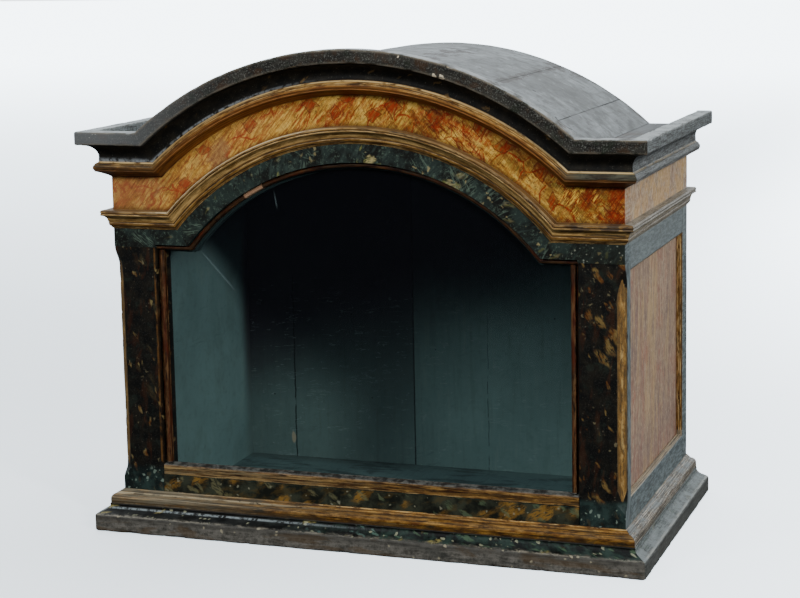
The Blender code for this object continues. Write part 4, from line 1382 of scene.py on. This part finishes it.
def plinthSection():
    # slab, cove, half-round bead and a small stepped fillet
    top = plinth["top"]
    bead = plinth["bead"]
    points = [(0.3, 0)] + arcPoints((plinth["reach"], plinth["foot"]), plinth["foot"], -90, 0, 4)
    points += arcPoints((plinth["reach"] - 1, plinth["slab"]), plinth["slabRound"], 0, 80, 5)
    points += arcPoints((33.5, plinth["ledge"]), plinth["cove"], 250, 185, 12)
    points += [(2 * bead + 2, plinth["ledge"]), (2 * bead, plinth["ledge"] + 0.4)]
    points += arcPoints((bead, plinth["ledge"] + bead), bead, 0, 90, 14)
    points += [(6, top - 5.6), (5.4, top - 3.2), (3, top - 2.8), (1.6, top - 0.4), (0.3, top)]
    return closeRing(scaledPoints(points), 1.5 * mm, onWall)


def architraveSection():
    # an ovolo below, a hollow over it and a fillet on top; the grooves are its quirks
    foot, top, reach = architrave["foot"], architrave["top"], architrave["reach"]
    points = [(0.3, foot)] + arcPoints((-2.2, foot + 10.5), architrave["ovolo"], -66, 0, 9)
    points += arcPoints((reach, foot + 11), architrave["cove"], 172, 96, 10)
    points += [(reach, architrave["fillet"]), (reach, top - 2), (reach - 1.8, top - 0.2), (0.3, top)]
    quirks = ((foot + 3.2, 1.0, 1.0), (foot + 9.6, 0.9, 1.0), (foot + 23.6, 1.2, 1.0))
    return closeRing(scaledPoints(points), 0.75 * mm, onWall, 2, quirks)


def bedSection():
    # a gilded torus, and the wide dark cove that carries the corona
    foot, top, reach = bed["foot"], bed["top"], bed["reach"]
    points = [(0.3, foot), (4, foot + 2.8), (12.5, foot + 7)]
    points += arcPoints((12.7, foot + 15), bed["torus"], -42, 78, 14)
    points += arcPoints((reach - 0.3, top - 19.2), bed["cove"], 180, 90, 16)
    points += [(reach, top), (0.3, top)]
    quirks = ((foot + 11.4, 1.0, 1.1), (foot + 19.4, 0.8, 1.0), (foot + 25.4, 0.7, 0.9))
    return closeRing(scaledPoints(points), 0.95 * mm, onWall, 2, quirks)


def coronaSection():
    low, top, reach, back = corona["low"], corona["top"], corona["reach"], corona["back"]
    points = [(back, low)] + arcPoints((reach, low + corona["round"]), corona["round"], -90, 0, 3)
    points += arcPoints((reach, top - corona["round"]), corona["round"], 0, 90, 3)
    return closeRing(scaledPoints(points + [(back + 1, top), (back, top - 1)]),
                     1.6 * mm, lambda point: False, 1)


def makeMouldings():
    heights = {key: (case[key + "Foot"], case[key + "Top"]) for key in ("architrave", "bed", "corona")}
    slabWear = {**wearOf(*plinth["wear"]), "Corner": plinth["corner"] * mm,
                "Corner Height": plinth["cornerHeight"] * mm}
    onAllSides("plinth", "plinth_moulding_", "plinth_paint", plinthSection(), slabWear, plinthPaint())
    onAllSides("architrave", "architrave_moulding_", "worn_gilding", architraveSection(),
               wearOf(*architrave["wear"]), architravePaint(), heights["architrave"], arch["architrave"])
    onAllSides("bed", "bed_moulding_", "worn_gilding", bedSection(),
               wearOf(*bed["wear"]), bedPaint(), heights["bed"], arch["bed"])
    onAllSides("corona", "corona_", "dark_paint", coronaSection(),
               wearOf(*corona["wear"]), coronaPaint(), heights["corona"], arch["corona"])
    print("mouldings laid")


beads = {"back": 13.7, "front": 4.0, "quirk": 3.5, "width": 11.7, "headWidth": 7.7, "headDrop": 24.3,
         "sillHeight": 18.7}


def halfRound(low, high):
    middle = (low + high) / 2
    crown = arcPoints((middle, beads["front"] + 4), ((high - low) / 2, 4), 180, 360, 10)
    return [(-deep, across) for across, deep in crown]


def makeBeads():
    paint = beadPaint()
    back = -beads["back"]
    quirk, width, head = beads["quirk"], beads["width"], beads["headWidth"]
    low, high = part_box("glazing_bead_right")
    behind = (lambda point: point[0] < (back + 0.1) * mm)
    upright = [(back, 0), (back + quirk, 0), (back + quirk, quirk)] + halfRound(quirk, width)
    section = closeRing(scaledPoints(upright + [(back, width)]), 1.0 * mm, behind)
    for word, side in sides:
        place = frameOf((0, 0, side), (0, -1, 0), (side * high.x, case["front"], 0))
        bead = layStraight("glazingBead" + word.capitalize(), section, upward(side, low.z, high.z),
                           (0, 0), place, wearOf(0.3, 0.9, 80, 20 + side), paint, 3 * mm)
        settle(bead, "worn_gilding", "glazing_bead_" + word)
    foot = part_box("glazing_bead_sill")[0].z / mm
    top = foot + beads["sillHeight"]
    sill = [(back, foot), (-2, foot), (-2, top - 4.3), (-3, top - 2.3), (back, top)]
    section = closeRing(scaledPoints(sill), 1.2 * mm, behind)
    bead = layStraight("glazingBeadSill", section, (-high.x, high.x), (0, 0),
                       Matrix.Translation((0, case["front"], 0)), wearOf(0.4, 1.2, 60, 25), paint, 3 * mm)
    settle(bead, "worn_gilding", "glazing_bead_sill")
    top = case["architraveFoot"] / mm - beads["headDrop"]
    section = closeRing(scaledPoints([(back, top - head)] + halfRound(top - head, top) + [(back, top)]),
                        0.9 * mm, behind)
    bead = layArched("glazingBeadHead", section, ((top - head) * mm, top * mm),
                     (arch["opening"] - head * mm, arch["opening"]), high.x, 0.0,
                     wearOf(0.3, 1.0, 80, 28), paint, 3 * mm)
    settle(bead, "worn_gilding", "glazing_bead_head")
    print("glazing beads laid")


post = {
    "width": 69.0, "chamfer": 13.0, "foot": (80.0, 98.0), "head": (415.0, 444.6),
    "depth": 31.0, "rebate": 17.3, "lap": 10.0, "step": 2.6,
    "gildedFrom": (94, 26), "gildedTo": (430, 34), "wear": (0.5, 1.6, 60, 30),
}


def chamferAt(height):
    rise = (height - post["foot"][0]) / (post["foot"][1] - post["foot"][0])
    fall = (post["head"][1] - height) / (post["head"][1] - post["head"][0])
    amount = max(0.0, min(1.0, rise, fall))
    return 0.6 + (post["chamfer"] - 0.6) * amount * amount * (3 - 2 * amount)


wornSurface = Builder("wornSurface")
wornSurface.close(wornSurface.worn(wornSurface.geometry()))


def postPlan(chamfer):
    # going round from the rebate: points as (across, deep) with their share of gilding
    inner = 400 - post["width"]
    plan = [(inner, post["rebate"], 0), (inner, post["rebate"] - 6, 0), (inner, 6, 0), (inner, 1.6, 0)]
    plan += [(inner + 0.5, 0.5, 0), (inner + 1.6, 0, 0)]
    front = 400 - chamfer
    steps = 26
    plan += [(inner + 1.6 + (front - 1.0 - inner - 1.6) * i / steps, 0, 0) for i in range(1, steps + 1)]
    plan += [(front + chamfer * i / 9, chamfer * i / 9, 1.0 - abs(i - 4.5) / 4.5) for i in range(10)]
    plan += [(400, chamfer + 0.8 + (post["depth"] - chamfer - 0.8) * i / 7, 0) for i in range(8)]
    return plan + [(inner - post["lap"], post["depth"], 0), (inner - post["lap"], post["rebate"], 0)]


def makePosts():
    paint = postPaint()
    low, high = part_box("corner_post_right")
    rows = math.ceil((high.z - low.z) / (post["step"] * mm))
    arrises = (4, 5, 31, 32, 41, 42)
    for word, side in sides:
        points = []
        marks = []
        runMap = []
        for row in range(rows + 1):
            z = low.z + (high.z - low.z) * row / rows
            plan = postPlan(chamferAt(z / mm))
            count = len(plan)
            # the gilding thins out towards both stops of the chamfer
            (low1, soft1), (high1, soft2) = post["gildedFrom"], post["gildedTo"]
            reach = max(0.0, min(1.0, (z / mm - low1) / soft1, (high1 - z / mm) / soft2))
            fade = min(1.0, row / 3, (rows - row) / 3)
            way = 0.0
            for index, (across, deep, share) in enumerate(plan):
                points.append((side * across * mm, case["front"] + deep * mm, z))
                gilt = max(0.0, min(1.0, (share + 1.15 * reach - 1.0) * 3)) if share else 0.0
                free = fade if 2 < index < count - 3 else 0.0
                marks.append((free, float(index in arrises), float(share), gilt))
                if index:
                    way += math.dist(plan[index - 1][:2], (across, deep)) * mm
                runMap.append((z, way))
        faces = []
        for first in range(0, rows * count, count):
            for index in range(count):
                after = (index + 1) % count
                faces.append((first + index, first + after, first + count + after, first + count + index))
        faces += [tuple(range(count - 1, -1, -1)), tuple(range(rows * count, rows * count + count))]
        values = dict(zip(("free", "edge", "middle", "gilt"), zip(*marks)))
        piece = meshPiece("cornerPost" + word.capitalize(), points, [face[::side] for face in faces],
                          values, runMap)
        dips, chips, chipScale, seed = post["wear"]
        wornSurface.make(piece, {**wearOf(dips, chips, chipScale, seed + side), "Material": paint})
        settle(piece, "marbled_paint", "corner_post_" + word)
    print("corner posts raised")


strip = {"depth": 10.0, "edge": 2.7, "reeds": (3.3, 5.8, 8.3), "reed": (1.2, 1.5), "gilded": 3.2}


def reededStrip(width):
    # a flat strip whose edge steps down to the panel in three small reeds, gilded there
    low = -strip["depth"]
    points = [(low, 0), (0, 0), (0, width - 3.6), (-0.8, width - 2.9), (-2.0, width - strip["edge"])]
    for middle in strip["reeds"]:
        points += arcPoints((-middle, width - strip["reed"][1]), strip["reed"], 10, 170, 5)
    points += [(low, width - 1.6)]
    section = closeRing(scaledPoints(points), 0.8 * mm, lambda point: point[0] < (low + 0.1) * mm, 1)
    gilded = (width - strip["gilded"]) * mm
    section["marks"]["gilt"] = [1.0 if height > gilded else 0.0 for out, height in section["ring"]]
    return section


def makeSideFrames():
    paint = sidePaint()
    for word, side in sides:
        x = side * case["half"]
        for stem, node in (("Stile", "side_stile_"), ("BottomRail", "side_bottom_rail_"),
                           ("TopRail", "side_top_rail_")):
            low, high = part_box(node + word)
            if stem == "Stile":
                width = high.y - low.y
                place = frameOf((0, 0, side), (side, 0, 0), (x, high.y, 0))
                span = upward(side, low.z, high.z)
            elif stem == "BottomRail":
                width = high.z - low.z
                place = frameOf((0, side, 0), (side, 0, 0), (x, 0, low.z))
                span = upward(side, low.y, high.y)
            else:
                width = high.z - low.z
                place = frameOf((0, -side, 0), (side, 0, 0), (x, 0, high.z))
                span = upward(-side, low.y, high.y)
            piece = layStraight("side" + stem + word.capitalize(), reededStrip(width / mm), span,
                                (0.0, 0.0), place, wearOf(0.3, 0.9, 80, 60 + side), paint)
            settle(piece, "side_paint", node + word)
    print("side frames fitted")


roof = {
    "joints": (-35, -22.5, -8, 8, 22.5, 35),
    "inner": 501.8, "thickness": 6.2, "acrossStep": 5.0, "alongStep": 6.0, "arris": 0.1,
}


def staveBuilder():
    # one bent board: a fine block laid round the barrel, its long arrises eased
    builder = Builder("roofStave")
    first = builder.given("First Angle", 0.1)
    last = builder.given("Last Angle", 0.3)
    slant = builder.given("Foot Slant", 0.0)
    inner = builder.given("Inner Radius", 0.5)
    thickness = builder.given("Thickness", 0.006)
    front = builder.given("Front", -0.2)
    back = builder.given("Back", 0.2)
    centre = builder.given("Arch Centre", 0.2)
    arris = builder.given("Arris", 0.001)
    across = builder.given("Steps Across", 20, "Int")
    along = builder.given("Steps Along", 60, "Int")
    block = builder.node("GeometryNodeMeshCube", None,
                         {"Size": (1, 1, 1), "Vertices X": across, "Vertices Y": along, "Vertices Z": 4})
    x, y, z = builder.node("GeometryNodeInputPosition").split()
    share = x + 0.5
    depth = z + 0.5
    leftSlant = slant.least(0.0) * (1.0 - share) * depth
    rightSlant = slant.most(0.0) * share * depth
    angle = first + (last - first) * share + leftSlant + rightSlant
    width = (last - first) * inner
    sideways = (0.5 - x.size()) * width
    ends = (0.5 - y.size()) * (back - front)
    eased = sideways.ease(arris * 1.5, 0.0).most(ends.ease(arris * 1.5, 0.0))
    radius = inner + thickness * depth - arris * 0.7 * eased * (z > 0.4)
    place = builder.join(radius * angle.sine(), front + (back - front) * (y + 0.5),
                         centre + radius * angle.cosine())
    laid = builder.moved(block, Position=place)
    laid = builder.store(laid, "free", (z > 0.4) * ends.ease(0.0, 4 * mm))
    laid = builder.store(laid, "edge", sideways.ease(3 * mm, 1 * mm))
    return builder.close(builder.worn(laid))


def makeRoof():
    paint = roofPaint()
    builder = staveBuilder()
    inner = roof["inner"] * mm
    outer = inner + roof["thickness"] * mm
    foot = [math.acos((case["coronaFoot"] - arch["centre"]) / radius) for radius in (inner, outer)]
    half = 0.01 * mm / inner
    joints = [math.radians(angle) for angle in roof["joints"]]
    starts = [-foot[0]] + [angle + half for angle in joints]
    ends = [angle - half for angle in joints] + [foot[0]]
    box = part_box("roof_stave_4")
    for number, (first, last) in enumerate(zip(starts, ends), start=1):
        piece = meshPiece("roofStave" + str(number), [(0, 0, 0)], [])
        slant = {1: foot[0] - foot[1], 7: foot[1] - foot[0]}.get(number, 0.0)
        values = {
            "First Angle": first, "Last Angle": last, "Foot Slant": slant,
            "Inner Radius": inner, "Thickness": outer - inner, "Front": box[0].y, "Back": box[1].y,
            "Arch Centre": arch["centre"], "Arris": roof["arris"] * mm,
            "Steps Across": math.ceil((last - first) * inner / (roof["acrossStep"] * mm)),
            "Steps Along": math.ceil((box[1].y - box[0].y) / (roof["alongStep"] * mm)),
            "Material": paint, **wearOf(0.9, 1.4, 50, 70),
        }
        builder.make(piece, values)
        settle(piece, "roof_paint", "roof_stave_" + str(number))
    print("roof boarded")


def dressBoards():
    dressed = (
        (headBoardPaint(), ("head_board",)),
        (railPaint(), ("bottom_rail",)),
        (panelPaint(), ("side_plank_left", "side_plank_right")),
        (insidePaint(), ("back_board_left", "back_board_right")),
        (barePaint(), ("floor_board",)),
        (shoulderPaint(), ("shoulder_board_left", "shoulder_board_right")),
        (glassPaint(), ("glass_pane",)),
    )
    for material, names in dressed:
        for name in names:
            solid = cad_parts[name]
            solid.material_slots[0].material = material
    print("boards and glass dressed")


studio = {
    "camera": (1.0093, -2.8261, 0.8911), "turn": 19.744, "dip": 8.443, "roll": 1.125,
    "lens": 87.41, "sensor": 36, "shiftY": -0.08, "aim": (0, 0, 0.35),
    "key": ((0.707, -0.575, 0.411), 4.2, 0.4, 88.0, (1.0, 0.98, 0.95)),
    "fill": ((-0.48, -0.69, 0.54), 3.6, 1.2, 40.0, (0.96, 0.98, 1.0)),
    "front": ((0.12, -0.77, 0.62), 3.6, 1.3, 32.0, (0.97, 0.99, 1.0)),
    "top": ((-0.1, 0.35, 1.0), 3.2, 2.4, 50.0, (0.97, 0.99, 1.0)),
    "sky": (0.9, 0.96, 1.0, 1.0), "skyFront": 0.008, "skyBehind": 1.25, "skyAbove": 0.35, "skySeen": 2.9,
    "floor": 30.0, "paper": (222, 226, 230), "bounce": (70, 72, 74), "paperTint": (0.81, 0.92),
    "glow": 1.35, "glowRight": 1.9, "glowBehind": 1.5, "glowCorner": 6.0, "glowFar": 4.0,
}


def makeCamera():
    turn, dip, roll = (math.radians(studio[key]) for key in ("turn", "dip", "roll"))
    level = Vector((-math.sin(turn), math.cos(turn), 0))
    down = Vector((0, 0, -1))
    aim = level * math.cos(dip) + down * math.sin(dip)
    right = Vector((math.cos(turn), math.sin(turn), 0))
    below = -level * math.sin(dip) + down * math.cos(dip)
    leanRight = right * math.cos(roll) + below * math.sin(roll)
    leanBelow = -right * math.sin(roll) + below * math.cos(roll)
    axes = Matrix((leanRight, -leanBelow, -aim)).transposed()
    lens = bpy.data.cameras.new("camera")
    lens.lens = studio["lens"]
    lens.sensor_width = studio["sensor"]
    lens.shift_y = studio["shiftY"]
    camera = bpy.data.objects.new("camera", lens)
    camera.matrix_world = Matrix.Translation(studio["camera"]) @ axes.to_4x4()
    bpy.context.scene.collection.objects.link(camera)
    bpy.context.scene.camera = camera


def makeLamp(name, direction, distance, size, power, colour):
    lamp = bpy.data.lights.new(name, "AREA")
    lamp.shape = "DISK"
    lamp.size = size
    lamp.energy = power
    lamp.color = colour
    holder = bpy.data.objects.new(name, lamp)
    towards = Vector(direction).normalized()
    holder.location = Vector(studio["aim"]) + towards * distance
    holder.rotation_euler = towards.to_track_quat("Z", "Y").to_euler()
    bpy.context.scene.collection.objects.link(holder)


def makeSky():
    # dark in front and bright behind for the lamps' work, and plain where it is seen
    world = bpy.data.worlds.new("studio")
    bpy.context.scene.world = world
    world.use_nodes = True
    sky = NodeMaker(world.node_tree)
    x, y, z = sky.node("ShaderNodeTexCoord", output=0).split()
    behind = y.ease(-0.35, 0.75)
    above = z.ease(0.0, 0.9)
    seen = sky.node("ShaderNodeLightPath")
    strength = studio["skyFront"] + behind * (studio["skyBehind"] + above * studio["skyAbove"])
    strength = strength * (1.0 - seen) + seen * studio["skySeen"]
    ground = world.node_tree.nodes["Background"]
    ground.inputs["Color"].default_value = studio["sky"]
    world.node_tree.links.new(strength.socket, ground.inputs["Strength"])


def makeFloor():
    # a wide pale floor that glows a little for the eye and throws little light back
    wide = studio["floor"]
    points = [(-wide, -wide, 0), (wide, -wide, 0), (wide, wide, 0), (-wide, wide, 0)]
    sheet = meshPiece("paperFloor", points, [(0, 1, 2, 3)])
    paper = Paint("paperFloor", Roughness=0.9, Specular_IOR_Level=0.1, Emission_Strength=1.0)
    x, y, z = paper.here().split()
    direct = paper.node("ShaderNodeLightPath")
    rightward = x.ease(-0.6, 1.3)
    glow = studio["glow"] + rightward * studio["glowRight"]
    glow = glow + y.ease(0.2, 4.0) * (studio["glowBehind"] + rightward * studio["glowCorner"])
    glow = (glow + y.ease(2.5, 12.0) * studio["glowFar"]) * direct
    red, green = studio["paperTint"]
    tint = paper.join(glow * red, glow * green, glow)
    paper.tree.links.new(tint.socket, paper.shader.inputs["Emission Color"])
    sheet.data.materials.append(paper.finish(paper.mix(direct, studio["bounce"], studio["paper"])))


def makeStudio():
    for name in ("key", "fill", "front", "top"):
        makeLamp(name + "Lamp", *studio[name])
    makeSky()
    makeFloor()
    print("studio set")


makeCamera()
makeMouldings()
makeBeads()
makePosts()
makeSideFrames()
makeRoof()
dressBoards()
makeStudio()
